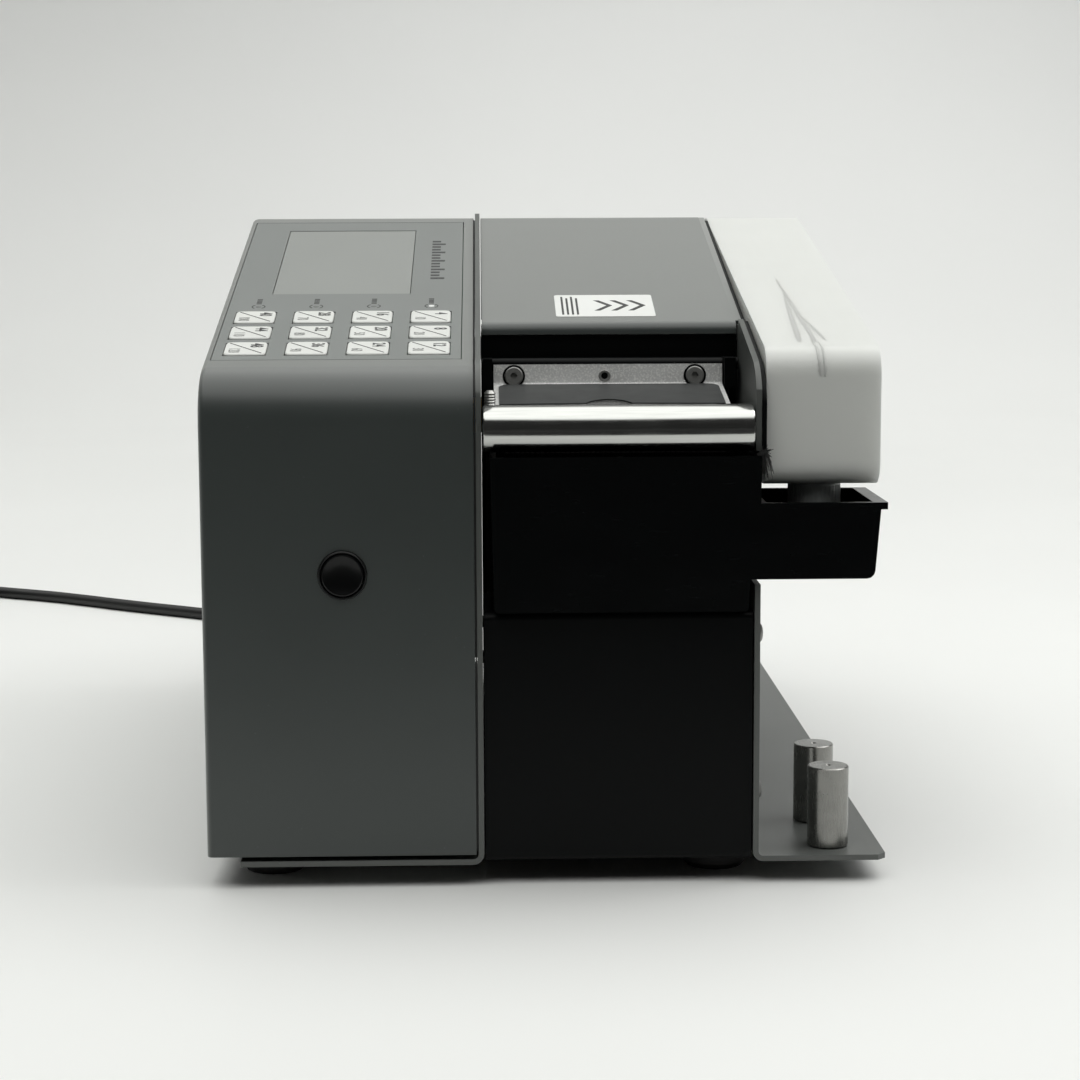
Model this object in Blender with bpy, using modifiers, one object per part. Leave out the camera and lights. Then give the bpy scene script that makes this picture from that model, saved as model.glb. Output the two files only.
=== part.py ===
"""Electric dispenser for water-activated paper tape, built as one named solid per piece.

All sizes below are in millimetres and become metres in the helper functions.
The working datum has X = 0 on the right face of the divider plate, Y = 0 on the
front of the control housing and Z = 0 on the table. An empty carries the datum,
so that the world origin falls under the middle of the machine's footprint.
"""

import math

import bmesh
import bpy
from mathutils import Matrix, Vector

MM = 0.001

# Overall layout
SLOPE = math.radians(14.5)
TOP_AT_FRONT = 183.8
TOP_FLAT = 241.2
DEPTH = 400.0
HOUSING_LEFT = -100.0
HOUSING_RIGHT = -2.8
SHEET = 2.0
THIN_SHEET = 1.5
BAY_WIDTH = 97.5
GAP = 0.3
EAR_RIGHT = 146.1
HEM_DROP = 1.5
BEND_STEPS = 8
DATUM_X = -23.05
DATUM_Y = -201.1

# Keypad and display
KEY_SIZE = 15.2
KEY_PITCH_X = 22.3
KEY_PITCH_Y = 19.4
KEY_COLUMN_X = -18.9
KEY_ROW_Y = 73.8
KEY_TRAVEL_GAP = 0.3
WINDOW_X = (-81.6, -27.7)
WINDOW_Y = (105.8, 201.0)
OVERLAY_X = (-97.2, -7.2)
OVERLAY_Y = (22.6, 214.8)

# Feed train
FEED_Y = 105.0
FEED_Z = 163.0
FEED_RADIUS = 12.0
PINCH_RADIUS = 8.0
TAPE_GAP = 0.4
GEAR_MODULE = 1.25
GEAR_TEETH = 40
PINION_TEETH = 20

ROLL_YS = (245, 345)

# Water side
BAR_RADIUS = 8.4
BAR_Y = 5.0
BAR_Z = 165.7
TANK_FRONT = -3.0
TANK_REAR = 47.0
TANK_WALL = 2.2
CAP_X = 121.2
CAP_Y = 22.0

# Mains cord
CORD_RADIUS = 3.5
COIL_MIDDLE_RADIUS = 40.0
COIL_HALF_WIDTH = 11.0
GLAND = (-78.0, 400.0, 96.0)

PAINT = ((0.045, 0.055, 0.055, 1), 0.55, 0.0)
BLACK_METAL = ((0.012, 0.013, 0.014, 1), 0.5, 0.0)
STEEL = ((0.55, 0.55, 0.53, 1), 0.3, 1.0)
ZINC = ((0.42, 0.42, 0.4, 1), 0.45, 1.0)
BLACK_PLASTIC = ((0.012, 0.012, 0.013, 1), 0.4, 0.0)
RUBBER = ((0.015, 0.015, 0.015, 1), 0.8, 0.0)
OVERLAY_GREY = ((0.2, 0.21, 0.205, 1), 0.5, 0.0)
WHITE_PLASTIC = ((0.8, 0.8, 0.78, 1), 0.4, 0.0)
SCREEN = ((0.33, 0.35, 0.33, 1), 0.35, 0.0)
MILKY = ((0.78, 0.79, 0.77, 1), 0.4, 0.0)
BOARD_GREEN = ((0.02, 0.16, 0.07, 1), 0.5, 0.0)
BRASS = ((0.6, 0.42, 0.16, 1), 0.35, 1.0)

for leftover in list(bpy.data.objects):
    bpy.data.objects.remove(leftover, do_unlink=True)


def new_collection(name):
    collection = bpy.data.collections.new(name)
    bpy.context.scene.collection.children.link(collection)
    return collection


PARTS = new_collection("tape_dispenser")
CUTTERS = new_collection("cutters")


# ---------------------------------------------------------------- helpers


def empty(name, at, parent=None, turn=(0.0, 0.0, 0.0)):
    """An empty whose home is the point that its children's coordinates are counted from."""
    holder = bpy.data.objects.new(name, None)
    holder.empty_display_size = 0.01
    PARTS.objects.link(holder)
    holder.parent = parent
    holder.location = Vector(at) * MM
    holder.rotation_euler = turn
    holder["home"] = (0.0, 0.0, 0.0)
    return holder


DATUM = empty("datum", (DATUM_X, DATUM_Y, 0.0))
SLOPE_FRAME = empty("slope_frame", (0.0, 0.0, TOP_AT_FRONT), DATUM, (SLOPE, 0.0, 0.0))


def pivot(name, at, parent=DATUM):
    """An empty on a joint's axis; the pieces it carries keep the coordinates of the frame around it."""
    holder = empty(name, at, parent)
    holder["home"] = at
    return holder


def paint(obj, finish):
    colour, roughness, metallic = finish
    material = bpy.data.materials.new(obj.name)
    material.use_nodes = True
    shader = material.node_tree.nodes["Principled BSDF"]
    shader.inputs["Base Color"].default_value = colour
    shader.inputs["Roughness"].default_value = roughness
    shader.inputs["Metallic"].default_value = metallic
    obj.data.materials.append(material)


def place(obj, at, parent, turn=(0.0, 0.0, 0.0)):
    obj.parent = parent
    obj.location = (Vector(at) - Vector(parent["home"])) * MM
    obj.rotation_euler = turn
    return obj


def from_bmesh(name, bm, finish, smooth=False):
    mesh = bpy.data.meshes.new(name)
    for face in bm.faces:
        face.smooth = smooth
    bm.to_mesh(mesh)
    bm.free()
    obj = bpy.data.objects.new(name, mesh)
    PARTS.objects.link(obj)
    paint(obj, finish)
    return obj


def bevel(obj, width, segments=2, angle=30.0):
    modifier = obj.modifiers.new("Bevel", "BEVEL")
    modifier.width = width * MM
    modifier.segments = segments
    modifier.limit_method = "ANGLE"
    modifier.angle_limit = math.radians(angle)
    return obj


def block(name, low, high, finish=ZINC, parent=DATUM, rounding=0.0, segments=1):
    """A box between two opposite corners."""
    size = (Vector(high) - Vector(low)) * MM
    bm = bmesh.new()
    bmesh.ops.create_cube(bm, size=1.0, matrix=Matrix.Diagonal((*size, 1.0)))
    obj = from_bmesh(name, bm, finish)
    place(obj, (Vector(low) + Vector(high)) / 2, parent)
    if rounding:
        bevel(obj, rounding, segments)
    return obj


def rod(name, start, end, radius, finish=STEEL, parent=DATUM, sides=24, rounding=0.0):
    """A round bar from one end's centre to the other's."""
    start, end = Vector(start), Vector(end)
    bm = bmesh.new()
    bmesh.ops.create_cone(
        bm, cap_ends=True, segments=sides, radius1=radius * MM, radius2=radius * MM,
        depth=(end - start).length * MM,
    )
    obj = from_bmesh(name, bm, finish, smooth=True)
    turn = (end - start).to_track_quat("Z", "Y").to_euler()
    place(obj, (start + end) / 2, parent, turn)
    if rounding:
        bevel(obj, rounding, 1, 60.0)
    return obj


def turned(name, profile, at, axis, finish, parent=DATUM, steps=24, closed=False):
    """A turned piece: (radius, height) points running down the outer side, about the given axis."""
    bm = bmesh.new()
    points = [bm.verts.new((radius * MM, 0.0, height * MM)) for radius, height in profile]
    for first, second in zip(points, points[1:]):
        bm.edges.new((first, second))
    if closed:
        bm.edges.new((points[-1], points[0]))
    obj = from_bmesh(name, bm, finish)
    screw = obj.modifiers.new("Screw", "SCREW")
    screw.steps = steps
    screw.render_steps = steps
    screw.use_merge_vertices = True
    screw.merge_threshold = 0.00001
    screw.use_smooth_shade = True
    place(obj, at, parent, Vector(axis).to_track_quat("Z", "Y").to_euler())
    return obj


def rounded(corners, steps=4):
    """The points of an outline from (x, y, radius) corners, closed, with an arc at each round one."""
    points = []
    count = len(corners)
    for index, (x, y, radius) in enumerate(corners):
        here = Vector((x, y))
        if not radius:
            points.append(here)
            continue
        back = (Vector(corners[index - 1][:2]) - here).normalized()
        ahead = (Vector(corners[(index + 1) % count][:2]) - here).normalized()
        half = back.angle(ahead) / 2
        centre = here + (back + ahead).normalized() * radius / math.sin(half)
        start = here + back * radius / math.tan(half) - centre
        sweep = math.pi - 2 * half
        if back.x * ahead.y - back.y * ahead.x > 0:
            sweep = -sweep
        for step in range(steps + 1):
            angle = sweep * step / steps
            points.append(centre + Matrix.Rotation(angle, 2) @ start)
    return points


PLANES = {
    "XY": (0.0, 0.0, 0.0),
    "YZ": (math.pi / 2, 0.0, math.pi / 2),
    "XZ": (math.pi / 2, 0.0, 0.0),
}


def flat(name, corners, thickness, centre, plane="YZ", finish=PAINT, parent=DATUM, steps=4):
    """A plate cut to an outline. Its curve is filled, made a mesh and its caps are welded."""
    curve = bpy.data.curves.new(name, "CURVE")
    curve.dimensions = "2D"
    curve.fill_mode = "BOTH"
    curve.extrude = thickness / 2 * MM
    points = rounded(corners, steps)
    spline = curve.splines.new("POLY")
    spline.points.add(len(points) - 1)
    for target, point in zip(spline.points, points):
        target.co = (point.x * MM, point.y * MM, 0.0, 1.0)
    spline.use_cyclic_u = True
    drawn = bpy.data.objects.new(name, curve)
    PARTS.objects.link(drawn)
    place(drawn, centre, parent, PLANES[plane])
    bpy.context.view_layer.update()
    evaluated = drawn.evaluated_get(bpy.context.evaluated_depsgraph_get())
    mesh = bpy.data.meshes.new_from_object(evaluated)
    bm = bmesh.new()
    bm.from_mesh(mesh)
    bmesh.ops.remove_doubles(bm, verts=bm.verts, dist=1e-6)
    bmesh.ops.recalc_face_normals(bm, faces=bm.faces)
    bm.to_mesh(mesh)
    bm.free()
    bpy.data.objects.remove(drawn, do_unlink=True)
    bpy.data.curves.remove(curve)
    mesh.name = name
    mesh.materials.clear()
    obj = bpy.data.objects.new(name, mesh)
    PARTS.objects.link(obj)
    paint(obj, finish)
    return place(obj, centre, parent, PLANES[plane])


def bent_sheet(name, corners, span, thickness, plane="YZ", side=0.0, finish=BLACK_METAL,
               parent=DATUM, steps=4):
    """Folded sheet metal: an open bent line, drawn along the third axis and given its thickness."""
    points = rounded(corners, steps)
    low, high = span
    bm = bmesh.new()
    rows = []
    for across, up in points:
        row = []
        for along in (low, high):
            place_3d = (along, across, up) if plane == "YZ" else (across, along, up)
            row.append(bm.verts.new(Vector(place_3d) * MM))
        rows.append(row)
    for first, second in zip(rows, rows[1:]):
        bm.faces.new((first[0], first[1], second[1], second[0]))
    obj = from_bmesh(name, bm, finish)
    home = Vector(parent["home"])
    obj.parent = parent
    obj.data.transform(Matrix.Translation(-home * MM))
    solid = obj.modifiers.new("Solidify", "SOLIDIFY")
    solid.thickness = thickness * MM
    solid.offset = side
    solid.use_even_offset = True
    return obj


def tool(obj):
    """Puts an object away as a cutter or guide."""
    PARTS.objects.unlink(obj)
    CUTTERS.objects.link(obj)
    obj.hide_render = True
    obj.display_type = "WIRE"
    return obj


def combine(target, others, operation):
    for index, other in enumerate(others):
        modifier = target.modifiers.new(f"{operation.title()} {index}", "BOOLEAN")
        modifier.operation = operation
        modifier.solver = "EXACT"
        modifier.object = tool(other)
    return target


def cut(target, *others):
    return combine(target, others, "DIFFERENCE")


def join(target, *others):
    return combine(target, others, "UNION")


def top_height(y, above=0.0):
    """Height of the machine's sloping top at a depth, or of its flat part further back."""
    return min(TOP_AT_FRONT + math.tan(SLOPE) * y, TOP_FLAT) + above


def flat_start():
    """Depth at which the sloping top meets the flat one."""
    return (TOP_FLAT - TOP_AT_FRONT) / math.tan(SLOPE)


# ---------------------------------------------------------------- frame


def side_outline(bottom, front, rear, above):
    """Outline of a full side plate: upright front, sloping top, flat top and round rear corner."""
    return [
        (front, bottom, 0),
        (front, top_height(front, above), 20),
        (flat_start(), TOP_FLAT + above, 12),
        (rear, TOP_FLAT + above, 24),
        (rear, bottom, 0),
    ]


def make_divider():
    base = bent_sheet(
        "divider_chassis", [(-88, 9, 0), (-1, 9, 3), (-1, 250, 0)], (0.3, 396.0), SHEET, "XZ",
        finish=PAINT,
    )
    outline = flat("divider_outline", side_outline(0, -1, 400, 2), 120, (-50, 0, 0), steps=BEND_STEPS)
    combine(base, [outline], "INTERSECT")
    blade_slot = block("divider_blade_slot", (-4, 66.6, 172), (2, 72, 197.5))
    shaft_hole = rod("divider_shaft_hole", (-4, FEED_Y, FEED_Z), (2, FEED_Y, FEED_Z), 7.3)
    roll_holes = [
        rod(f"divider_roll_hole_{y}", (-4, y, 40), (2, y, 40), 3.3, sides=16) for y in ROLL_YS
    ]
    cut(base, blade_slot, shaft_hole, *roll_holes)


def lid_rebate():
    """Cutter that lowers a side plate's top edge, so that the lid's right hem lies over it."""
    low = TOP_FLAT - HEM_DROP
    outline = [
        (62.5, 194, 0), (67, 194, 0), (67, top_height(67, -HEM_DROP), 0), (flat_start(), low, 0),
        (DEPTH + 5, low, 0), (DEPTH + 5, 260, 0), (62.5, 260, 0),
    ]
    return flat("lid_rebate", outline, 8, (99.5, 0, 0))


def make_side_plate():
    plate = bent_sheet(
        "side_plate", [(98.5, 250, 0), (98.5, 9, 2.5), (EAR_RIGHT, 9, 0)], (1.1, 396.0), SHEET, "XZ",
        finish=PAINT,
    )
    outline = flat("side_plate_outline", side_outline(0, -1, 400, 2), 60, (124, 0, 0), steps=BEND_STEPS)
    combine(plate, [outline], "INTERSECT")
    notch = flat(
        "tank_notch", [(-5, 109.5, 0), (50, 109.5, 4), (50, 157.5, 4), (-5, 157.5, 0)], 6, (98.5, 0, 0)
    )
    shaft_hole = rod("side_shaft_hole", (96, FEED_Y, FEED_Z), (101, FEED_Y, FEED_Z), 4.3)
    roll_holes = [
        rod(f"side_roll_hole_{y}", (96, y, 40), (101, y, 40), 3.3, sides=16) for y in ROLL_YS
    ]
    ear_corner = rod("ear_corner", (EAR_RIGHT, 1.1, 5), (EAR_RIGHT, 1.1, 14), 3, sides=4)
    cut(plate, notch, shaft_hole, ear_corner, lid_rebate(), *roll_holes)


def make_floor_pan():
    bent_sheet(
        "floor_pan", [(16, 9.3, 0), (398, 9.3, 3), (398, 184, 0)], (GAP, BAY_WIDTH - GAP), SHEET,
    )


def make_front_panel():
    bent_sheet(
        "lower_front_panel", [(14, 9.5, 0), (3.4, 9.5, 2), (3.4, 99.0, 2), (50, 99.0, 0)],
        (0.5, 97.0), SHEET,
    )


def make_feet():
    for name, x, y in (("front_left", -78, 30), ("rear_left", -78, 372), ("front_right", 86, 30),
                       ("rear_right", 86, 372)):
        turned(f"rubber_foot_{name}", [(0, 8), (12, 8), (12, 2), (10.5, 0), (0, 0)], (x, y, 0),
               (0, 0, 1), RUBBER, steps=16)


def make_posts():
    profile = [(0, 40.0), (6.9, 40.0), (7.5, 39.4), (7.5, 10.3), (0, 10.3)]
    for name, x, y in (("front", 126.7, 16.0), ("rear", 126.6, 53.8)):
        turned(f"steel_post_{name}", profile, (x, y, 0), (0, 0, 1), ZINC, steps=28)


# ---------------------------------------------------------------- control side


def make_housing():
    """Five-sided sheet cover: left, front, top and rear, open below and towards the divider."""
    outline = rounded([
        (0, 11.8, 0), (0, TOP_AT_FRONT, 20), (flat_start(), TOP_FLAT, 12), (DEPTH, TOP_FLAT, 25),
        (DEPTH, 11.8, 0),
    ], BEND_STEPS)
    bm = bmesh.new()
    left = [bm.verts.new(Vector((HOUSING_LEFT, p.x, p.y)) * MM) for p in outline]
    right = [bm.verts.new(Vector((HOUSING_RIGHT, p.x, p.y)) * MM) for p in outline]
    bm.faces.new(left)
    for index in range(len(outline) - 1):
        bm.faces.new((left[index + 1], left[index], right[index], right[index + 1]))
    bmesh.ops.recalc_face_normals(bm, faces=bm.faces)
    housing = from_bmesh("control_housing", bm, PAINT)
    housing.parent = DATUM
    bevel(housing, 2.4, 3, 60.0)
    shell = housing.modifiers.new("Solidify", "SOLIDIFY")
    shell.thickness = THIN_SHEET * MM
    shell.offset = -1.0
    shell.use_even_offset = True
    x0, x1 = OVERLAY_X
    y0, y1 = OVERLAY_Y
    opening = block("overlay_opening", (x0 - 0.35, slope_length(y0) - 0.35, -6),
                    (x1 + 0.35, slope_length(y1) + 0.35, 6), parent=SLOPE_FRAME)
    button_hole = rod("button_hole", (-49.7, -5, 114.3), (-49.7, 5, 114.3), 8.9, sides=32)
    gland_hole = rod("gland_hole", (GLAND[0], 395, GLAND[2]), (GLAND[0], 405, GLAND[2]), 6.4, sides=16)
    switch_hole = block("switch_hole", (-40.7, 396, 59.3), (-27.3, 403, 80.7))
    cut(housing, opening, button_hole, gland_hole, switch_hole)


def slope_length(y):
    """Distance along the sloping top that lies over a plan depth."""
    return y / math.cos(SLOPE)


def key_centres():
    """Each key's printed length and its centre on the sloping top."""
    for column in range(4):
        for row in range(3):
            length = 4 * (3 * column + row + 1)
            x = KEY_COLUMN_X - KEY_PITCH_X * column
            y = KEY_ROW_Y - KEY_PITCH_Y * row
            yield length, x, slope_length(y)


def make_overlay():
    x0, x1 = OVERLAY_X
    y0, y1 = (slope_length(y) for y in OVERLAY_Y)
    overlay = block("keypad_overlay", (x0, y0, -1.5), (x1, y1, 0.0), OVERLAY_GREY, SLOPE_FRAME)
    holes = []
    half = KEY_SIZE / 2 + KEY_TRAVEL_GAP
    for length, x, y in key_centres():
        holes.append(block(f"key_hole_{length}", (x - half, y - half, -3), (x + half, y + half, 3),
                           parent=SLOPE_FRAME))
    wx0, wx1 = WINDOW_X
    wy0, wy1 = (slope_length(y) for y in WINDOW_Y)
    holes.append(block("window_hole", (wx0 - GAP, wy0 - GAP, -3), (wx1 + GAP, wy1 + GAP, 3),
                       parent=SLOPE_FRAME))
    cut(overlay, *holes)
    block("display_window", (wx0, wy0, -1.5), (wx1, wy1, -0.15), SCREEN, SLOPE_FRAME)
    board = block("control_board", (x0 + 0.2, y0 - 5, -4.6), (x1 + 1.0, y1 + 3, -3.0), BOARD_GREEN,
                  SLOPE_FRAME)
    join(board, block("display_module", (wx0 - 3, wy0 - 4, -12), (wx1 + 3, wy1 + 4, -3.2),
                      parent=SLOPE_FRAME))


def make_keys():
    half = KEY_SIZE / 2
    for length, x, y in key_centres():
        holder = pivot(f"key_axis_{length}", (x, y, 0.5), SLOPE_FRAME)
        corners = [(-half, -half, 2), (half, -half, 2), (half, half, 2), (-half, half, 2)]
        key = flat(f"key_{length}", corners, 1.9, (x, y, -0.45), "XY", WHITE_PLASTIC, holder, steps=2)
        bevel(key, 0.35, 1, 60.0)


def make_feed_button():
    x, z = -49.7, 114.3
    holder = pivot("button_axis", (x, 0, z))
    turned(
        "feed_button",
        [(0, 0.7), (5.2, 1.1), (6.9, 1.7), (7.5, 1.6), (7.7, 1.0), (7.7, -9.0), (0, -9.0)],
        (x, 0, z), (0, -1, 0), BLACK_PLASTIC, holder, steps=32,
    )


def make_switch():
    holder = pivot("rocker_axis", (-34, 398.5, 70))
    block("power_rocker", (-40.2, 395.0, 60), (-27.8, 402.5, 80), BLACK_PLASTIC, holder,
          rounding=1.2, segments=2)


def make_electronics():
    board = block("main_board", (-8.4, 225, 60), (-6.8, 385, 185), BOARD_GREEN)
    join(
        board,
        block("transformer", (-38, 240, 70), (-8.2, 285, 110)),
        block("relay", (-24, 300, 76), (-8.2, 330, 96)),
        block("heat_sink", (-30, 300, 140), (-8.2, 304, 170)),
        rod("capacitor_a", (-36, 350, 90), (-8.2, 350, 90), 9, sides=12),
        rod("capacitor_b", (-30, 350, 130), (-8.2, 350, 130), 7, sides=12),
    )
    block("power_supply", (-90, 250, 10.4), (-45, 350, 50), ZINC, rounding=1.5)


# ---------------------------------------------------------------- feed and cut


def gear_outline(teeth, start_angle):
    """Tooth flanks of a spur gear, drawn straight, with running backlash."""
    pitch = GEAR_MODULE * teeth / 2
    root, tip = pitch - 1.35 * GEAR_MODULE, pitch + 0.9 * GEAR_MODULE
    step = 2 * math.pi / teeth
    corners = []
    for tooth in range(teeth):
        middle = start_angle + tooth * step
        for radius, part in ((root, -0.34), (tip, -0.13), (tip, 0.13), (root, 0.34)):
            angle = middle + part * step
            corners.append((radius * math.cos(angle), radius * math.sin(angle), 0))
    return corners


def make_feed_train():
    feed = pivot("feed_axis", (0, FEED_Y, FEED_Z))
    turned(
        "feed_roller",
        [(0, 99), (4, 99), (4, 92), (FEED_RADIUS, 91.5), (FEED_RADIUS, 5.5), (4, 5), (4, -17), (0, -17)],
        (0, FEED_Y, FEED_Z), (1, 0, 0), RUBBER, feed,
    )
    gear = flat("feed_gear", gear_outline(GEAR_TEETH, 0), 7, (-11.5, FEED_Y, FEED_Z), "YZ", BRASS, feed)
    cut(gear, rod("gear_bore", (-20, FEED_Y, FEED_Z), (0, FEED_Y, FEED_Z), 4.3, parent=feed))

    motor_y = FEED_Y + GEAR_MODULE * (GEAR_TEETH + PINION_TEETH) / 2
    motor = pivot("motor_axis", (0, motor_y, FEED_Z))
    half_tooth = math.pi / PINION_TEETH
    pinion = flat("motor_pinion", gear_outline(PINION_TEETH, math.pi + half_tooth), 7,
                  (-11.5, motor_y, FEED_Z), "YZ", STEEL, motor)
    join(pinion, rod("pinion_shaft", (-17.5, motor_y, FEED_Z), (-7, motor_y, FEED_Z), 3, parent=motor,
                     sides=16))
    turned(
        "feed_motor",
        [(0, 4), (8, 4), (8, 0), (27, 0), (28, -1), (28, -52), (26, -53.5), (0, -53.5)],
        (-22, motor_y, FEED_Z), (1, 0, 0), ZINC, steps=28,
    )
    turned(
        "feed_bearing", [(4.25, 4.2), (7.0, 4.2), (7.0, 0), (9.0, 0), (9.0, -1.5), (4.25, -1.5)],
        (0.3, FEED_Y, FEED_Z), (-1, 0, 0), BRASS, closed=True,
    )


def make_pinch_roller():
    z = FEED_Z + FEED_RADIUS + TAPE_GAP + PINCH_RADIUS
    holder = pivot("pinch_axis", (0, FEED_Y, z))
    turned(
        "pinch_roller",
        [(0, 96.9), (2.5, 96.9), (2.5, 93), (PINCH_RADIUS, 92.6), (PINCH_RADIUS, 4.9), (2.5, 4.5),
         (2.5, 0.6), (0, 0.6)],
        (0, FEED_Y, z), (1, 0, 0), STEEL, holder,
    )
    bracket = bent_sheet(
        "pinch_bracket", [(1.3, 176.5, 0), (1.3, 198, 2), (96.2, 198, 2), (96.2, 176.5, 0)],
        (95.5, 114.5), SHEET, "XZ",
    )
    cut(bracket, rod("pinch_bore", (-2, FEED_Y, z), (99, FEED_Y, z), 2.65, sides=24))


def make_tape_guides():
    bent_sheet(
        "tape_ramp", [(119.5, 171, 0), (150, 167, 15), (219, 140, 8), (219, 10.9, 0)], (2, 95.5),
        THIN_SHEET, finish=ZINC,
    )
    for name, y in zip(("roll_support_front", "roll_support_rear"), ROLL_YS):
        holder = pivot(f"{name}_axis", (0, y, 40))
        turned(
            name, [(0, 99), (3, 99), (3, 94), (7, 93.6), (7, 3.9), (3, 3.5), (3, -1.5), (0, -1.5)],
            (0, y, 40), (1, 0, 0), ZINC, holder, steps=20,
        )


def make_cutter():
    bridge = block("cutter_bridge", (GAP, 74.2, 186.5), (BAY_WIDTH - GAP, 88, 199.5), BLACK_METAL)
    left_cheek = block("left_cheek", (GAP, 65.2, 158), (3, 88, 196))
    right_cheek = block("right_cheek", (94.5, 65.2, 158), (BAY_WIDTH - GAP, 88, 196))
    bed = block("blade_bed", (GAP, 74.2, 158), (BAY_WIDTH - GAP, 88, 172))
    shield = block("front_shield", (GAP, 65.2, 187), (BAY_WIDTH - GAP, 66.8, 196))
    join(bridge, left_cheek, right_cheek, bed, shield)
    cut(bridge, block("cheek_slot", (-2, 67.1, 171), (3.6, 71.6, 199)))
    flat(
        "fixed_blade", [(71.1, 160, 0), (73.8, 160, 0), (73.8, 172.3, 0), (71.1, 174.6, 0)], 90,
        (48.75, 0, 0), "YZ", STEEL,
    )
    holder = pivot("blade_axis", (-30, 69.2, 186))
    corners = [
        (-36, 187, 0), (3.9, 187, 0), (3.9, 184, 0), (93.6, 182, 0), (93.6, 197, 1), (-36, 195, 1),
    ]
    flat("moving_blade", corners, 2.4, (0, 69.2, 0), "XZ", STEEL, holder)
    turned(
        "blade_plunger", [(0, 186.7), (5.5, 186.7), (5.5, 183.5), (3.8, 183.5), (3.8, 128), (0, 128)],
        (-30, 69.2, 0), (0, 0, 1), STEEL, holder, steps=16,
    )
    solenoid = block("cutter_solenoid", (-43.5, 55.7, 105), (-16.5, 82.7, 165), ZINC, rounding=1.5)
    cut(solenoid, rod("solenoid_bore", (-30, 69.2, 114), (-30, 69.2, 170), 4.4, sides=16))


def make_pressure_plate():
    y, z = 59.5, 185.5
    holder = pivot("pressure_axis", (0, y, z))
    plate = bent_sheet(
        "pressure_plate", [(54.6, 185.6, 0), (53.4, 177.6, 2), (22, 171.9, 0)], (4.8, 90.6), THIN_SHEET,
        side=0.0, finish=STEEL, parent=holder,
    )
    cut(plate, rod("feed_notch", (46.5, 20, 165), (46.5, 20, 177), 9, parent=holder, sides=24))
    arms = block("pressure_arms", (0.9, 50, 176.5), (4.3, 61.5, 188), BLACK_METAL, holder)
    join(
        arms,
        block("right_arm", (91.2, 50, 176.5), (95.4, 61.5, 188), parent=holder),
        rod("pressure_rod", (0.5, y, z), (96.9, y, z), 2.4, parent=holder, sides=16),
    )


# ---------------------------------------------------------------- cover


def make_cover():
    y, z = 403.0, 186.0
    holder = pivot("cover_axis", (0, y, z))
    cover = bent_sheet(
        "tape_cover",
        [(63.9, 196.5, 0), (64.6, top_height(64.6), 4.5), (flat_start(), TOP_FLAT, 12),
         (DEPTH, TOP_FLAT, 25), (DEPTH, 190, 0)],
        (0.5, 97.0), THIN_SHEET, side=-1.0, finish=PAINT, parent=holder, steps=BEND_STEPS,
    )
    flange = [
        (118, top_height(118, -0.6), 0), (flat_start(), TOP_FLAT - 0.6, 0), (375, TOP_FLAT - 0.6, 0),
        (375, 232, 0), (flat_start() + 1.2, 232, 0), (118, top_height(118, -9), 0),
    ]
    hem_top = TOP_FLAT - 0.15
    hem = [
        (68, top_height(68, -0.15), 0), (flat_start(), hem_top, 0), (376, hem_top, 0),
        (376, TOP_FLAT - 1.1, 0), (flat_start(), TOP_FLAT - 1.1, 0), (68, top_height(68, -1.1), 0),
    ]
    leaf = block("cover_leaf", (20, DEPTH - 0.4, 192), (77, DEPTH + 1.5, 214), parent=holder)
    web = block("cover_web", (35.4, DEPTH - 0.4, 186), (61.6, DEPTH + 1.5, 193), parent=holder)
    knuckle = rod("cover_knuckle", (35.4, y, z), (61.6, y, z), 2.6, parent=holder, sides=16)
    join(
        cover, flat("cover_flange_left", flange, 1.5, (1.3, 0, 0), parent=holder),
        flat("cover_flange_right", flange, 1.5, (96.2, 0, 0), parent=holder),
        flat("cover_hem", hem, 3.0, (97.9, 0, 0), parent=holder), leaf, web, knuckle,
    )
    cut(cover, rod("knuckle_bore", (30, y, z), (66, y, z), 1.4, parent=holder, sides=16))
    hinge = block("lid_hinge", (20, 399.3, 150), (77, 400.9, 182), ZINC)
    join(
        hinge,
        block("leaf_left", (20, 399.3, 181), (35, 401.2, 186)),
        block("leaf_right", (62, 399.3, 181), (77, 401.2, 186)),
        rod("knuckle_left", (20, y, z), (35, y, z), 2.6, sides=16),
        rod("knuckle_right", (62, y, z), (77, y, z), 2.6, sides=16),
        rod("hinge_pin", (21, y, z), (76, y, z), 1.2, sides=16),
    )


# ---------------------------------------------------------------- water


def make_tank():
    holder = pivot("tank_axis", (48, 22, 101))
    middle = (TANK_FRONT + TANK_REAR) / 2
    depth = TANK_REAR - TANK_FRONT
    outline = [
        (2.9, 156, 0), (4.2, 100.5, 1.5), (94.7, 100.5, 1.5), (95.3, 112, 0), (139.7, 112, 3),
        (141.7, 136.8, 0), (144.1, 136.8, 0), (144.1, 139.3, 0), (99.0, 139.3, 0), (99.2, 156, 0),
    ]
    tank = flat("water_tank", outline, depth, (0, middle, 0), "XZ", BLACK_PLASTIC, holder, steps=3)
    inner_depth = depth - 2 * TANK_WALL
    cavity = flat(
        "tank_cavity", [(5.1, 160, 0), (6.4, 102.7, 1), (92.6, 102.7, 1), (97.0, 160, 0)], inner_depth,
        (0, middle, 0), "XZ", parent=holder, steps=2,
    )
    well = flat(
        "well_cavity", [(101.2, 150, 0), (101.2, 114.4, 0), (137.6, 114.4, 1.5), (139.6, 150, 0)],
        inner_depth, (0, middle, 0), "XZ", parent=holder, steps=2,
    )
    channel = block("tank_channel", (90, 2, 114.4), (103, 42, 132), parent=holder)
    cut(tank, cavity, well, channel)


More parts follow.
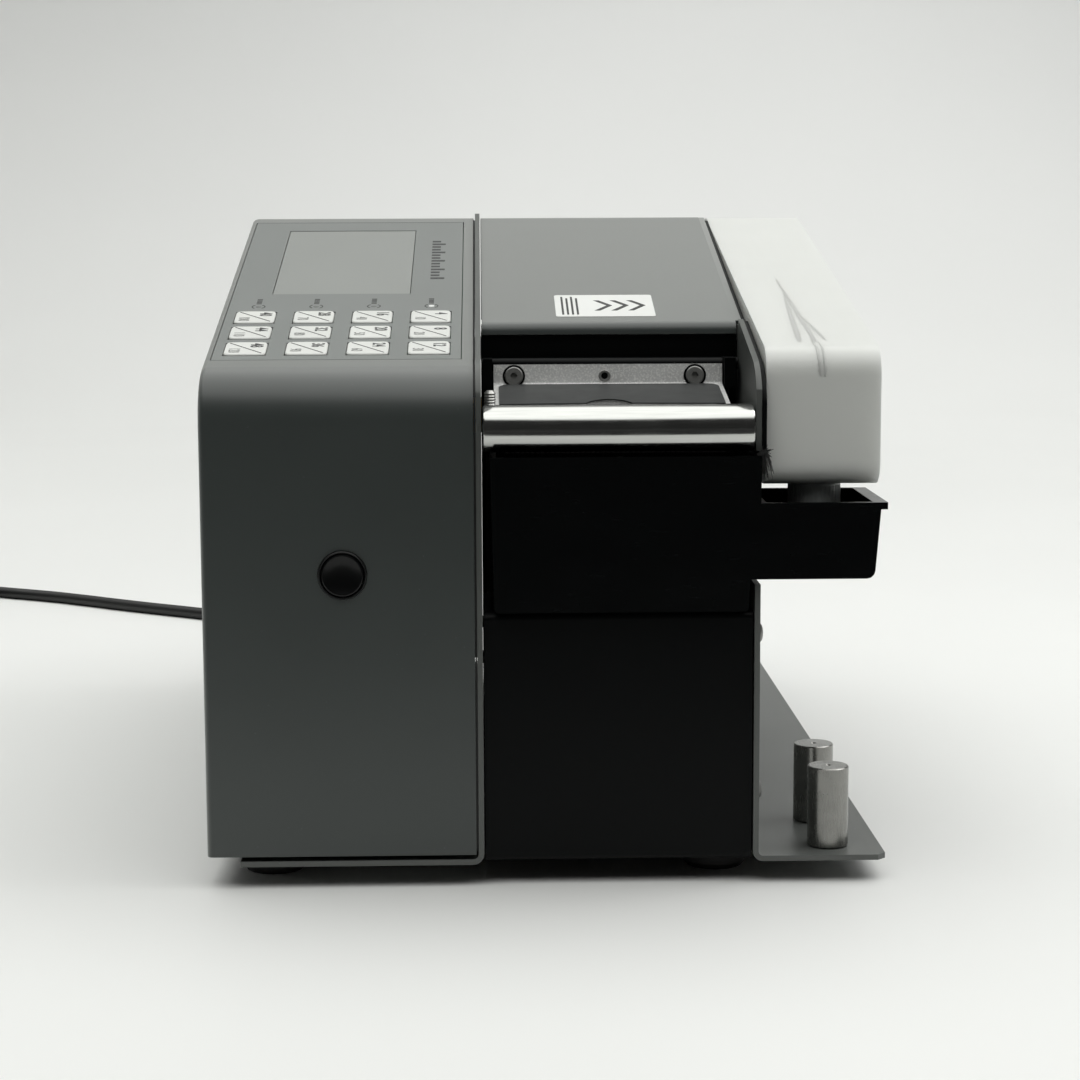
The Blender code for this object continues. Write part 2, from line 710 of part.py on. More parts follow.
def make_brush():
    holder = bpy.data.objects["tank_axis"]
    bent_sheet(
        "brush_bracket", [(5, 156.9, 0), (5, 141, 3), (12, 137.5, 3), (41.6, 137.5, 2), (41.6, 103.1, 0)],
        (8, 90), SHEET, finish=BLACK_METAL, parent=holder, steps=2,
    )
    brush = block("wetting_brush", (7, 23, 138.9), (91, 43, 152), BLACK_PLASTIC, holder)
    join(brush, block("bristles", (7.6, 24, 150), (90.4, 42, 169.4), parent=holder))
    rod("guide_bar", (0.5, BAR_Y, BAR_Z), (97.0, BAR_Y, BAR_Z), BAR_RADIUS, STEEL, holder, sides=48,
        rounding=0.6)


def make_bottle():
    holder = pivot("bottle_axis", (CAP_X, CAP_Y, 144.5))
    side = [(5, 144.5, 8), (5, 192.4, 11), (232, 240.8, 14), (245, 240.8, 9), (245, 144.5, 8)]
    bottle = flat("water_bottle", side, 41, (122, 0, 0), "YZ", MILKY, holder, steps=3)
    bevel(bottle, 4.6, 3, 60.0)
    shell = bottle.modifiers.new("Solidify", "SOLIDIFY")
    shell.thickness = 1.6 * MM
    shell.offset = -1.0
    join(bottle, rod("bottle_neck", (CAP_X, CAP_Y, 136), (CAP_X, CAP_Y, 145.5), 8.2, parent=holder))
    cut(bottle, rod("bottle_mouth", (CAP_X, CAP_Y, 130), (CAP_X, CAP_Y, 149), 6.4, parent=holder))
    turned(
        "bottle_cap",
        [(8.6, 144.1), (9.65, 144.1), (9.65, 127), (9.0, 126), (3, 126), (3, 128), (8.6, 128)],
        (CAP_X, CAP_Y, 0), (0, 0, 1), BLACK_PLASTIC, holder, closed=True,
    )


def make_cradle():
    """Outer plate and shelf that the bottle slides along."""
    cradle = bent_sheet(
        "bottle_cradle", [(100.5, 250, 0), (100.5, 143.4, 1.6), (141, 143.4, 0)], (0.6, 246), 1.4, "XZ",
        finish=PAINT,
    )
    outline = flat("cradle_outline", side_outline(100, 0, 400, 1.2), 60, (124, 0, 0), steps=BEND_STEPS)
    combine(cradle, [outline], "INTERSECT")
    cut(cradle, block("tray_clearance", (95, -5, 130), (150, 54, 157)), lid_rebate())


# ---------------------------------------------------------------- mains cord


def smooth_route(points, per_span=4):
    """Points of a Catmull-Rom curve through a hand-laid route."""
    padded = [points[0], *points, points[-1]]
    route = []
    for a, b, c, d in zip(padded, padded[1:], padded[2:], padded[3:]):
        a, b, c, d = Vector(a), Vector(b), Vector(c), Vector(d)
        for step in range(per_span):
            t = step / per_span
            route.append(0.5 * (2 * b + (c - a) * t + (2 * a - 5 * b + 4 * c - d) * t * t
                                + (3 * b - a - 3 * c + d) * t ** 3))
    route.append(Vector(points[-1]))
    return route


# The free cord leaves the gland straight, sinks to the table behind the machine and runs to its coil.
CORD_ROUTE = [
    (-78, 430, 96), (-78.5, 446, 95), (-80, 462, 91), (-83, 477, 83), (-87, 490, 71), (-92, 502, 56),
    (-98, 514, 40), (-105, 527, 24), (-113, 541, 11.5), (-124, 557, 5), (-139, 575, 3.7),
    (-158, 592, 3.6), (-180, 608, 3.6), (-204, 624, 3.6), (-228, 641, 3.6), (-252, 659, 3.6),
    (-276, 675.7, 3.6), (-301, 689.9, 3.6), (-317, 699, 3.6),
]
COIL_CENTRE = (-372.0, 676.0)
COIL_TOP = 15.2
PLUG_AT = (-419.5, 571.0)


def make_cord():
    """Gland, free cord, the coil of its spare length and the plug that ends it."""
    x, y, z = GLAND
    turned(
        "cord_gland",
        [
            (0, 29.6), (4.9, 29.6), (5.4, 26), (6.0, 12), (8.5, 11), (8.5, 0.3), (6.0, 0.3), (6.0, -7),
            (0, -7),
        ],
        (x, y, z), (0, 1, 0), BLACK_PLASTIC, steps=20,
    )
    curve = bpy.data.curves.new("power_cord", "CURVE")
    curve.dimensions = "3D"
    curve.bevel_depth = CORD_RADIUS * MM
    curve.bevel_resolution = 2
    curve.use_fill_caps = True
    route = smooth_route(CORD_ROUTE)
    spline = curve.splines.new("POLY")
    spline.points.add(len(route) - 1)
    for target, point in zip(spline.points, route):
        target.co = (*(point * MM), 1.0)
    cord = bpy.data.objects.new("power_cord", curve)
    PARTS.objects.link(cord)
    cord.parent = DATUM
    paint(cord, BLACK_PLASTIC)

    cx, cy = COIL_CENTRE
    inner = COIL_MIDDLE_RADIUS - COIL_HALF_WIDTH
    outer = COIL_MIDDLE_RADIUS + COIL_HALF_WIDTH
    turned(
        "cord_coil", [(inner, COIL_TOP), (outer, COIL_TOP), (outer, 0.2), (inner, 0.2)], (cx, cy, 0),
        (0, 0, 1), BLACK_PLASTIC, steps=32, closed=True,
    )
    px, py = PLUG_AT
    plug = block("cord_plug", (px - 14, py - 20, 0.4), (px + 14, py + 20, 21), BLACK_PLASTIC, rounding=3,
                 segments=2)
    join(
        plug,
        rod("plug_sleeve", (px, py + 18, 7.5), (px, py + 44, 5.5), 5.0, sides=12),
        rod("plug_lead", (px, py + 40, 5.6), (px, py + 78, 7.6), CORD_RADIUS, sides=12),
        block("blade_left", (px - 7.4, py - 37, 7), (px - 5.9, py - 18, 13.3)),
        block("blade_right", (px + 5.9, py - 37, 7), (px + 7.4, py - 18, 13.3)),
    )


make_divider()
make_side_plate()
make_floor_pan()
make_front_panel()
make_feet()
make_posts()
make_housing()
make_overlay()
make_keys()
make_feed_button()
make_switch()
make_electronics()
make_feed_train()
make_pinch_roller()
make_tape_guides()
make_cutter()
make_pressure_plate()
make_cover()
make_tank()
make_brush()
make_bottle()
make_cradle()
make_cord()
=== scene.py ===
"""Visual model of an electric paper tape dispenser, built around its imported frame.

Each sub-assembly is a class that keeps its own sizes, builds its pieces and dresses
the frame's nodes. Lengths are in millimetres unless a name ends in _m.
"""

import logging
import math
import random
from dataclasses import dataclass
from enum import Enum
from typing import Dict, Iterable, List, Optional, Sequence, Tuple, Union

import bmesh
import bpy
from mathutils import Matrix, Vector


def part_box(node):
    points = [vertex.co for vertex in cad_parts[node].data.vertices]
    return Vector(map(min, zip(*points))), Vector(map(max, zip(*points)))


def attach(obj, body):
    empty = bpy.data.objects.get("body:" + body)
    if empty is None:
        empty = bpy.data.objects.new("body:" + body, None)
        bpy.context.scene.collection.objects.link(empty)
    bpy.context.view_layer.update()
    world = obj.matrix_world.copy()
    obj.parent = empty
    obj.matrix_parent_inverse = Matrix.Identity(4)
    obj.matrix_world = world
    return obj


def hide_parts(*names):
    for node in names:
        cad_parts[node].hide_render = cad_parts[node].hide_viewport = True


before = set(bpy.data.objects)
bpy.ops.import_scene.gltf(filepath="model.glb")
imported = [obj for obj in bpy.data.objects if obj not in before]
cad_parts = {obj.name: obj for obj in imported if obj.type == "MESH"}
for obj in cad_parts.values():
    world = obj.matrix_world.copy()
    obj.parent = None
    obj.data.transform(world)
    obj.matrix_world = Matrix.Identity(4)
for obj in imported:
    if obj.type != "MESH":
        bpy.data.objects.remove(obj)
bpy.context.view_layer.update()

LOG = logging.getLogger("tape_dispenser")
MM = 0.001
SLOPE = math.radians(14.5)
SLOPE_FOOT = 183.8
QUARTER_TURN = math.pi / 2
SMOOTH_ANGLE = 35.0
FINE_ANGLE = 25.0
STRAND_ANGLE = 60.0
SPOTS_PER_METRE = 1e6
MIDDLE = 0.5
PRINT_HALF = 0.02
FILM_PRINT = (0.01, 0.05)
Point = Tuple[float, float, float]
Colour = Tuple[float, float, float]
Number = Union[int, float, "Value"]


class Axis(Enum):
    """The direction that a turned or drawn piece points along."""

    X = (1.0, 0.0, 0.0)
    Y = (0.0, 1.0, 0.0)
    Z = (0.0, 0.0, 1.0)
    FRONT = (0.0, -1.0, 0.0)


class Datum:
    """The machine's own corner: divider face, housing front and table top."""

    def __init__(self) -> None:
        """Reads the corner from the frame's boxes."""
        self.origin = Vector((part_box("divider_chassis")[1][0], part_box("control_housing")[0][1], 0.0))

    def at(self, x: float, y: float, z: float) -> Vector:
        """A point of the frame in metres, from millimetres off the datum."""
        return self.origin + Vector((x, y, z)) * MM

    def slope(self) -> Matrix:
        """The matrix of the sloping top, whose Y runs up the slope and Z out of it."""
        return Matrix.Translation(self.at(0.0, 0.0, SLOPE_FOOT)) @ Matrix.Rotation(SLOPE, 4, "X")

    def side_view(self, across_m: float) -> Matrix:
        """The matrix of a side view: its X is depth, its Y height and its Z across."""
        return Matrix(((0, 0, 1, across_m), (1, 0, 0, self.origin.y), (0, 1, 0, 0), (0, 0, 0, 1)))


DATUM = Datum()


# ---------------------------------------------------------------- shader tools


class Value:
    """A value socket on which Python's operators add Math nodes."""

    def __init__(self, painter: "Painter", socket: bpy.types.NodeSocket) -> None:
        """Wraps one output socket of the painter's tree."""
        self.painter = painter
        self.socket = socket

    def _math(self, operation: str, left: Number, right: Number) -> "Value":
        """Adds one Math node.

        Args:
            operation: the node's operation.
            left: first operand.
            right: second operand.

        Returns:
            The node's result.
        """
        node = self.painter.node("ShaderNodeMath", {"operation": operation}, {0: left, 1: right})
        return Value(self.painter, node.outputs[0])

    def __add__(self, other: Number) -> "Value":
        """Sum."""
        return self._math("ADD", self, other)

    __radd__ = __add__

    def __sub__(self, other: Number) -> "Value":
        """Difference."""
        return self._math("SUBTRACT", self, other)

    def __rsub__(self, other: Number) -> "Value":
        """Difference from a number."""
        return self._math("SUBTRACT", other, self)

    def __mul__(self, other: Number) -> "Value":
        """Product."""
        return self._math("MULTIPLY", self, other)

    __rmul__ = __mul__

    def __gt__(self, other: Number) -> "Value":
        """One where this is greater, else zero."""
        return self._math("GREATER_THAN", self, other)

    def __pow__(self, other: Number) -> "Value":
        """Power."""
        return self._math("POWER", self, other)


class Painter:
    """Builds one procedural material around a Principled shader."""

    def __init__(self, name: str) -> None:
        """Creates the empty material.

        Args:
            name: its name.
        """
        self.material = bpy.data.materials.new(name)
        self.material.use_nodes = True
        self.tree = self.material.node_tree
        self.shader = self.tree.nodes["Principled BSDF"]

    def node(self, kind: str, settings: Optional[Dict] = None,
             inputs: Optional[Dict] = None) -> bpy.types.Node:
        """Adds any node.

        Args:
            kind: the node's type.
            settings: its properties.
            inputs: values or links of its sockets, by name or index.

        Returns:
            The new node.
        """
        made = self.tree.nodes.new(kind)
        for key, value in (settings or {}).items():
            setattr(made, key, value)
        for key, value in (inputs or {}).items():
            self.feed(made.inputs[key], value)
        return made

    def feed(self, socket: bpy.types.NodeSocket, value: object) -> None:
        """Links a socket to another, or writes its value.

        Args:
            socket: the input socket.
            value: a value, an output socket, a colour or a number.
        """
        if isinstance(value, Value):
            self.tree.links.new(value.socket, socket)
        elif isinstance(value, bpy.types.NodeSocket):
            self.tree.links.new(value, socket)
        elif isinstance(value, tuple) and socket.type == "RGBA":
            socket.default_value = (*value, 1.0)
        else:
            socket.default_value = value

    def place(self, stretch: Point = (1.0, 1.0, 1.0)) -> bpy.types.NodeSocket:
        """Object coordinates, multiplied along each axis."""
        coordinates = self.node("ShaderNodeTexCoord").outputs["Object"]
        return self.node("ShaderNodeMapping", None, {"Vector": coordinates, "Scale": stretch}).outputs[0]

    def noise(self, size: float, detail: float = 2.0, stretch: Point = (1.0, 1.0, 1.0)) -> Value:
        """Noise from 0 to 1.

        Args:
            size: size of its features in millimetres.
            detail: octaves.
            stretch: multiplies the frequency along each axis.

        Returns:
            The noise value.
        """
        made = self.node("ShaderNodeTexNoise", None, {
            "Vector": self.place(stretch), "Scale": 1.0 / (size * MM), "Detail": detail})
        return Value(self, made.outputs[0])

    def facing(self) -> Value:
        """How far the surface turns away from the eye, from 0 to 1."""
        return Value(self, self.node("ShaderNodeLayerWeight", None, {"Blend": 0.5}).outputs["Facing"])

    def mix(self, factor: Number, first: object, second: object) -> bpy.types.NodeSocket:
        """Blends two colours."""
        made = self.node("ShaderNodeMix", {"data_type": "RGBA"}, {0: factor, 6: first, 7: second})
        return made.outputs[2]

    def bump(self, height: Value, strength: float, depth: float) -> None:
        """Feeds a height to the shader's normal.

        Args:
            height: the height value.
            strength: from 0 to 1.
            depth: depth in millimetres.
        """
        made = self.node("ShaderNodeBump", None, {
            "Height": height, "Strength": strength, "Distance": depth * MM})
        self.feed(self.shader.inputs["Normal"], made.outputs[0])

    def finish(self, colour: object, roughness: Number, metallic: float = 0.0,
               **constants: Union[float, Point]) -> bpy.types.Material:
        """Feeds the shader and returns the material.

        Args:
            colour: base colour or its link.
            roughness: roughness or its value.
            metallic: metallic value.
            constants: other sockets by name, with _ for a space.

        Returns:
            The material.
        """
        self.feed(self.shader.inputs["Base Color"], colour)
        self.feed(self.shader.inputs["Roughness"], roughness)
        self.shader.inputs["Metallic"].default_value = metallic
        for key, value in constants.items():
            self.shader.inputs[key.replace("_", " ")].default_value = value
        return self.material


def shade(colour: Colour, factor: float) -> Colour:
    """A colour made lighter or darker."""
    return tuple(min(1.0, channel * factor) for channel in colour)


# ---------------------------------------------------------------- finishes


@dataclass(frozen=True)
class PowderCoat:
    """Baked powder paint with its fine orange peel, a few pale specks and a painted sheen that lightens faces
    seen at a grazing angle.
    """

    name: str
    colour: Colour
    roughness: float = 0.42
    grain: float = 0.55
    relief: float = 0.03
    graze: float = 0.0
    gloss: float = 0.5
    cloud_size: float = 60.0
    dust_size: float = 1.6
    dust_level: float = 0.735
    dust_share: float = 0.3
    graze_colour: Colour = (0.6, 0.61, 0.59)

    def make(self) -> bpy.types.Material:
        """Makes the material.

        Returns:
            The new material.
        """
        paint = Painter(self.name)
        peel = paint.noise(self.grain, 3.0)
        cloud = paint.noise(self.cloud_size)
        dust = paint.noise(self.dust_size, 4.0)
        base = paint.mix(cloud, shade(self.colour, 0.9), shade(self.colour, 1.1))
        speck = (dust > self.dust_level) * self.dust_share
        grainy = paint.mix(speck, base, shade(self.colour, 2.4))
        # Painted sheen: faces seen at a grazing angle are lightened toward pale grey, standing in for the
        # bright backdrop's reflection.
        painted_sheen_mask = (paint.facing() ** 2) * self.graze
        colour = paint.mix(painted_sheen_mask, grainy, self.graze_colour)
        paint.bump(peel, 0.55, self.relief)
        roughness = self.roughness + (cloud - MIDDLE) * 0.08 + (peel - MIDDLE) * 0.1
        return paint.finish(colour, roughness, Specular_IOR_Level=self.gloss)


@dataclass(frozen=True)
class Moulding:
    """Injection-moulded plastic with a fine spark texture, flow clouds and light scuffs."""

    name: str
    colour: Colour
    roughness: float = 0.4
    grain: float = 0.3
    relief: float = 0.012
    scuffs: float = 0.25
    gloss: float = 0.5
    flow_size: float = 25.0
    flow_stretch: Point = (1.0, 0.4, 2.2)
    scuff_size: float = 7.0
    scuff_stretch: Point = (1.0, 1.0, 5.0)
    scuff_level: float = 0.66

    def make(self) -> bpy.types.Material:
        """Makes the material.

        Returns:
            The new material.
        """
        paint = Painter(self.name)
        spark = paint.noise(self.grain)
        flow = paint.noise(self.flow_size, 3.0, self.flow_stretch)
        scuff = paint.noise(self.scuff_size, 6.0, self.scuff_stretch)
        mask = (scuff > self.scuff_level) * self.scuffs
        base = paint.mix(flow, shade(self.colour, 0.85), shade(self.colour, 1.2))
        colour = paint.mix(mask, base, shade(self.colour, 2.2))
        paint.bump(spark, 0.5, self.relief)
        roughness = self.roughness + (flow - MIDDLE) * 0.12 + mask * 0.3
        return paint.finish(colour, roughness, Specular_IOR_Level=self.gloss)


@dataclass(frozen=True)
class Brushed:
    """Metal ground in one direction, with streaks and stains."""

    name: str
    colour: Colour
    roughness: float = 0.3
    stretch: Point = (0.04, 1.0, 1.0)
    streak: float = 0.35
    stain: float = 0.3
    relief: float = 0.008
    metallic: float = 1.0
    stain_size: float = 9.0

    def make(self) -> bpy.types.Material:
        """Makes the material.

        Returns:
            The new material.
        """
        paint = Painter(self.name)
        lines = paint.noise(self.streak, 3.0, self.stretch)
        cloud = paint.noise(self.stain_size, 4.0)
        base = paint.mix(lines, shade(self.colour, 0.82), shade(self.colour, 1.14))
        colour = paint.mix(cloud * self.stain, base, shade(self.colour, 0.55))
        paint.bump(lines, 0.4, self.relief)
        roughness = self.roughness + (cloud - MIDDLE) * 0.14 + (lines - MIDDLE) * 0.1
        return paint.finish(colour, roughness, self.metallic)


@dataclass(frozen=True)
class Mottled:
    """Blasted stainless sheet, shaded almost as a non-metal: its mottled reflection is painted into a pale
    colour, with painted reflection clouds and painted glints on the brightest of its real blasted grains.
    """

    name: str
    colour: Colour
    roughness: float = 0.5
    metallic: float = 0.35
    grain: float = 0.7
    relief: float = 0.05
    wear_size: float = 11.0
    wear_stretch: Point = (0.6, 1.0, 1.0)
    bright_level: float = 0.56
    bright_share: float = 0.4

    def make(self) -> bpy.types.Material:
        """Makes the material.

        Returns:
            The new material.
        """
        paint = Painter(self.name)
        grain = paint.noise(self.grain, 4.0)
        # Painted reflection: large soft clouds lighten and darken the plate's colour; they also vary its
        # roughness.
        reflection_cloud = paint.noise(self.wear_size, 4.0, self.wear_stretch)
        base = paint.mix(grain, shade(self.colour, 0.35), shade(self.colour, 1.75))
        reflection_clouded = paint.mix(reflection_cloud, shade(self.colour, 0.4), shade(self.colour, 1.5))
        even = paint.mix(MIDDLE, base, reflection_clouded)
        # Painted glints: the brightest grains are lightened further.
        bright = (grain > self.bright_level) * self.bright_share
        colour = paint.mix(bright, even, shade(self.colour, 1.15))
        paint.bump(grain, 0.6, self.relief)
        return paint.finish(colour, self.roughness + (reflection_cloud - MIDDLE) * 0.2, self.metallic)


@dataclass(frozen=True)
class MilkyPlastic:
    """Blow-moulded natural polyethylene: waxy, cloudy and faintly see-through."""

    name: str
    colour: Colour
    roughness: float = 0.38
    cloud_size: float = 38.0
    drag_size: float = 2.6
    drag_stretch: Point = (1.0, 0.07, 0.07)
    wave_size: float = 14.0
    relief: float = 0.22
    depth: float = 8.0

    def make(self) -> bpy.types.Material:
        """Makes the material.

        Returns:
            The new material.
        """
        paint = Painter(self.name)
        cloud = paint.noise(self.cloud_size, 3.0)
        drag = paint.noise(self.drag_size, 3.0, self.drag_stretch)
        wave = paint.noise(self.wave_size)
        colour = paint.mix(cloud, shade(self.colour, 0.96), shade(self.colour, 1.03))
        paint.bump(wave + drag * 0.35, 0.28, self.relief)
        roughness = self.roughness + (drag - MIDDLE) * 0.12
        return paint.finish(colour, roughness, Subsurface_Weight=0.4, Subsurface_Radius=(1.0, 1.0, 1.0),
                            Subsurface_Scale=self.depth * MM, IOR=1.5)


@dataclass(frozen=True)
class Film:
    """Printed polyester film with a fine matte texture."""

    name: str
    colour: Colour
    roughness: float = 0.4
    grain: float = 0.22
    relief: float = 0.008
    haze_size: float = 30.0

    def make(self) -> bpy.types.Material:
        """Makes the material.

        Returns:
            The new material.
        """
        paint = Painter(self.name)
        tooth = paint.noise(self.grain)
        haze = paint.noise(self.haze_size)
        colour = paint.mix(haze, shade(self.colour, 0.95), shade(self.colour, 1.05))
        paint.bump(tooth, 0.35, self.relief)
        return paint.finish(colour, self.roughness + (haze - MIDDLE) * 0.08)


@dataclass(frozen=True)
class SoftRubber:
    """Matte rubber or cable sheath, with a bloom of dust."""

    name: str
    colour: Colour
    roughness: float = 0.62
    bloom: float = 0.5
    grain: float = 0.8
    relief: float = 0.02
    dust_size: float = 16.0

    def make(self) -> bpy.types.Material:
        """Makes the material.

        Returns:
            The new material.
        """
        paint = Painter(self.name)
        skin = paint.noise(self.grain, 3.0)
        dust = paint.noise(self.dust_size, 5.0)
        colour = paint.mix((dust ** 2) * self.bloom, self.colour, shade(self.colour, 3.0))
        paint.bump(skin, 0.4, self.relief)
        return paint.finish(colour, self.roughness + (dust - MIDDLE) * 0.2)


@dataclass(frozen=True)
class FrostedLamp:
    """A small status lamp behind the film, pale when lit and grey when dark."""

    name: str
    colour: Colour
    roughness: float = 0.35
    grain: float = 0.5

    def make(self) -> bpy.types.Material:
        """Makes the material.

        Returns:
            The new material.
        """
        paint = Painter(self.name)
        frost = paint.noise(self.grain)
        colour = paint.mix(frost, shade(self.colour, 0.9), self.colour)
        return paint.finish(colour, self.roughness + (frost - MIDDLE) * 0.1)


# The charcoal paint has a strong painted sheen that lightens its tops and bends toward pale grey.
CHARCOAL = PowderCoat("charcoal_powder_coat", (0.05, 0.058, 0.056), 0.38, graze=0.62, gloss=0.6)
CHASSIS_GREY = PowderCoat("chassis_powder_coat", (0.1, 0.106, 0.101), 0.4, 0.5)
SATIN_BLACK = PowderCoat("satin_black_paint", (0.0022, 0.0027, 0.0029), 0.4, 0.6, 0.012, gloss=0.11)
OVERLAY = Film("overlay_film", (0.215, 0.228, 0.222), 0.38)
KEY_WHITE = Film("key_white_film", (0.78, 0.79, 0.765), 0.36)
SCREEN = Film("frosted_screen", (0.3, 0.312, 0.3), 0.32, 0.16)
INK = Film("black_ink", (0.025, 0.026, 0.026), 0.45)
GREY_INK = Film("grey_ink", (0.2, 0.205, 0.2), 0.45)
PAPER = Film("white_label_film", (0.86, 0.87, 0.85), 0.34)
GLOSS_BLACK = Moulding("button_black", (0.002, 0.0022, 0.0024), 0.3, 0.4, 0.003, 0.1, 0.25)
RIM_GREY = Moulding("worn_rim", (0.006, 0.0065, 0.0065), 0.36, 0.4, 0.004, 0.1, 0.25)
TANK_BLACK = Moulding("tank_black", (0.0018, 0.0022, 0.0024), 0.24, 0.35, 0.005, 0.12, 0.2)
SMOKY = Moulding("smoky_cap", (0.42, 0.44, 0.435), 0.3, 0.5, 0.006, 0.1)
BAR_METAL = Brushed("polished_bar_steel", (0.5, 0.505, 0.49), 0.165, (0.03, 1.0, 1.0), 0.5, 0.05, 0.0004)
STAINLESS = Brushed("stainless_plate", (0.5, 0.5, 0.485), 0.4, (0.12, 1.0, 1.0), 0.5, 0.5)
# Pale colour with little metal: the stainless plate's reflection is painted into its colour.
BLASTED = Mottled("blasted_plate", (0.84, 0.84, 0.81), 0.42, 0.05)
SHOE_STEEL = Brushed("dark_shoe_steel", (0.05, 0.053, 0.053), 0.45, (0.1, 1.0, 1.0), 0.5, 0.4, metallic=0.4)
ZINC = Brushed("zinc_plate", (0.45, 0.455, 0.44), 0.42, (0.4, 1.0, 1.0), 0.6, 0.4)
POST_METAL = Brushed("ground_post_steel", (0.3, 0.298, 0.283), 0.26, (1.0, 1.0, 0.05), 0.5, 0.5)
SCREW_METAL = Brushed("screw_steel", (0.3, 0.3, 0.29), 0.4, (1.0, 1.0, 1.0), 0.8, 0.5, metallic=0.6)
BRASS = Brushed("machined_brass", (0.62, 0.43, 0.17), 0.3, (1.0, 0.2, 0.2), 0.5, 0.3)
BOTTLE_MILKY = MilkyPlastic("milky_polyethylene", (0.76, 0.77, 0.745))
FOOT_RUBBER = SoftRubber("foot_rubber", (0.016, 0.016, 0.016))
ROLLER_RUBBER = SoftRubber("roller_rubber", (0.03, 0.03, 0.03), 0.7)
SHEATH = SoftRubber("cord_sheath", (0.008, 0.008, 0.0082), 0.45, 0.25)
BRISTLES = SoftRubber("nylon_bristle", (0.016, 0.016, 0.016), 0.5, 0.3)
BOARD = Film("solder_mask", (0.02, 0.15, 0.07), 0.3)
LAMP_ON = FrostedLamp("lamp_lit", (0.95, 0.96, 0.95))
LAMP_OFF = FrostedLamp("lamp_dark", (0.16, 0.17, 0.165))

Finish = Union[PowderCoat, Moulding, Brushed, Mottled, MilkyPlastic, Film, SoftRubber, FrostedLamp]
_made: Dict[str, bpy.types.Material] = {}


def material_of(finish: Finish) -> bpy.types.Material:
    """The finish's material, made once.

    Args:
        finish: any of the finishes above.

    Returns:
        Its material.
    """
    if finish.name not in _made:
        _made[finish.name] = finish.make()
    return _made[finish.name]


# ---------------------------------------------------------------- mesh tools


def soften(obj: bpy.types.Object, angle: float = SMOOTH_ANGLE) -> None:
    """Shades an object smooth.

    Args:
        obj: the object.
        angle: edges sharper than this many degrees stay sharp.
    """
    mesh = obj.data
    mesh.polygons.foreach_set("use_smooth", [True] * len(mesh.polygons))
    mesh.set_sharp_from_angle(angle=math.radians(angle))


def blend_normals(mesh: bpy.types.Mesh, angle: float = SMOOTH_ANGLE) -> None:
    """Writes shading normals that run on over facets which meet at less than an angle.

    Args:
        mesh: a mesh whose facets share no vertices; its coordinates stay as they are.
        angle: the greatest angle, in degrees, that is shaded as a curve.
    """
    least = math.cos(math.radians(angle))
    spots = [tuple(round(value * SPOTS_PER_METRE) for value in vertex.co) for vertex in mesh.vertices]
    around: Dict[Tuple[int, ...], List[bpy.types.MeshPolygon]] = {}
    for facet in mesh.polygons:
        for index in facet.vertices:
            around.setdefault(spots[index], []).append(facet)
    normals = []
    for facet in mesh.polygons:
        for index in facet.vertices:
            near = [other for other in around[spots[index]] if other.normal.dot(facet.normal) > least]
            total = sum((other.normal * other.area for other in near), Vector())
            normals.append(total.normalized() if total.length > 0 else facet.normal.copy())
    mesh.polygons.foreach_set("use_smooth", [True] * len(mesh.polygons))
    mesh.normals_split_custom_set(normals)


def dress(nodes: Iterable[str], finish: Finish) -> None:
    """Gives frame nodes their finish and smooth shading.

    Args:
        nodes: their names.
        finish: the finish of all of them.
    """
    for name in nodes:
        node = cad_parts[name]
        node.data.materials.clear()
        node.data.materials.append(material_of(finish))
        blend_normals(node.data)
        LOG.info("dressed %s in %s", name, finish.name)


def piece(name: str, bm: bmesh.types.BMesh, body: str, finish: Finish,
          replaces: Sequence[str] = (), angle: float = SMOOTH_ANGLE) -> bpy.types.Object:
    """Makes a finished piece from a mesh that is already in the frame's place.

    Args:
        name: the piece's name.
        bm: its mesh, in metres; it is freed.
        body: the body that carries it.
        finish: its finish.
        replaces: frame nodes that it stands for.
        angle: edges sharper than this stay sharp.

    Returns:
        The new object.
    """
    mesh = bpy.data.meshes.new(name)
    bmesh.ops.recalc_face_normals(bm, faces=bm.faces)
    bm.to_mesh(mesh)
    bm.free()
    mesh.materials.append(material_of(finish))
    obj = bpy.data.objects.new(name, mesh)
    bpy.context.scene.collection.objects.link(obj)
    soften(obj, angle)
    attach(obj, body)
    if replaces:
        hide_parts(*replaces)
    LOG.info("built %s on %s", name, body)
    return obj


def arc_corners(corners: Sequence[Tuple[float, float, float]], steps: int = 8) -> List[Vector]:
    """Outline points from (x, y, radius) corners, with an arc at each round one.

    Args:
        corners: the outline's corners.
        steps: arc segments at each corner.

    Returns:
        The outline's points.
    """
    points: List[Vector] = []
    for index, (x, y, radius) in enumerate(corners):
        here = Vector((x, y))
        if not radius:
            points.append(here)
            continue
        back = (Vector(corners[index - 1][:2]) - here).normalized()
        ahead = (Vector(corners[(index + 1) % len(corners)][:2]) - here).normalized()
        half = back.angle(ahead) / 2
        centre = here + (back + ahead).normalized() * radius / math.sin(half)
        arm = here + back * radius / math.tan(half) - centre
        sweep = math.pi - 2 * half
        if back.x * ahead.y - back.y * ahead.x > 0:
            sweep = -sweep
        points += [centre + Matrix.Rotation(sweep * step / steps, 2) @ arm for step in range(steps + 1)]
    return points


def box_outline(x0: float, y0: float, x1: float, y1: float) -> List[Vector]:
    """The four corners of a rectangle."""
    return [Vector((x0, y0)), Vector((x1, y0)), Vector((x1, y1)), Vector((x0, y1))]


def round_box(x0: float, y0: float, x1: float, y1: float, radius: float, steps: int) -> List[Vector]:
    """A rectangle's outline with an arc of some steps at each corner."""
    return arc_corners([(x0, y0, radius), (x1, y0, radius), (x1, y1, radius), (x0, y1, radius)], steps)


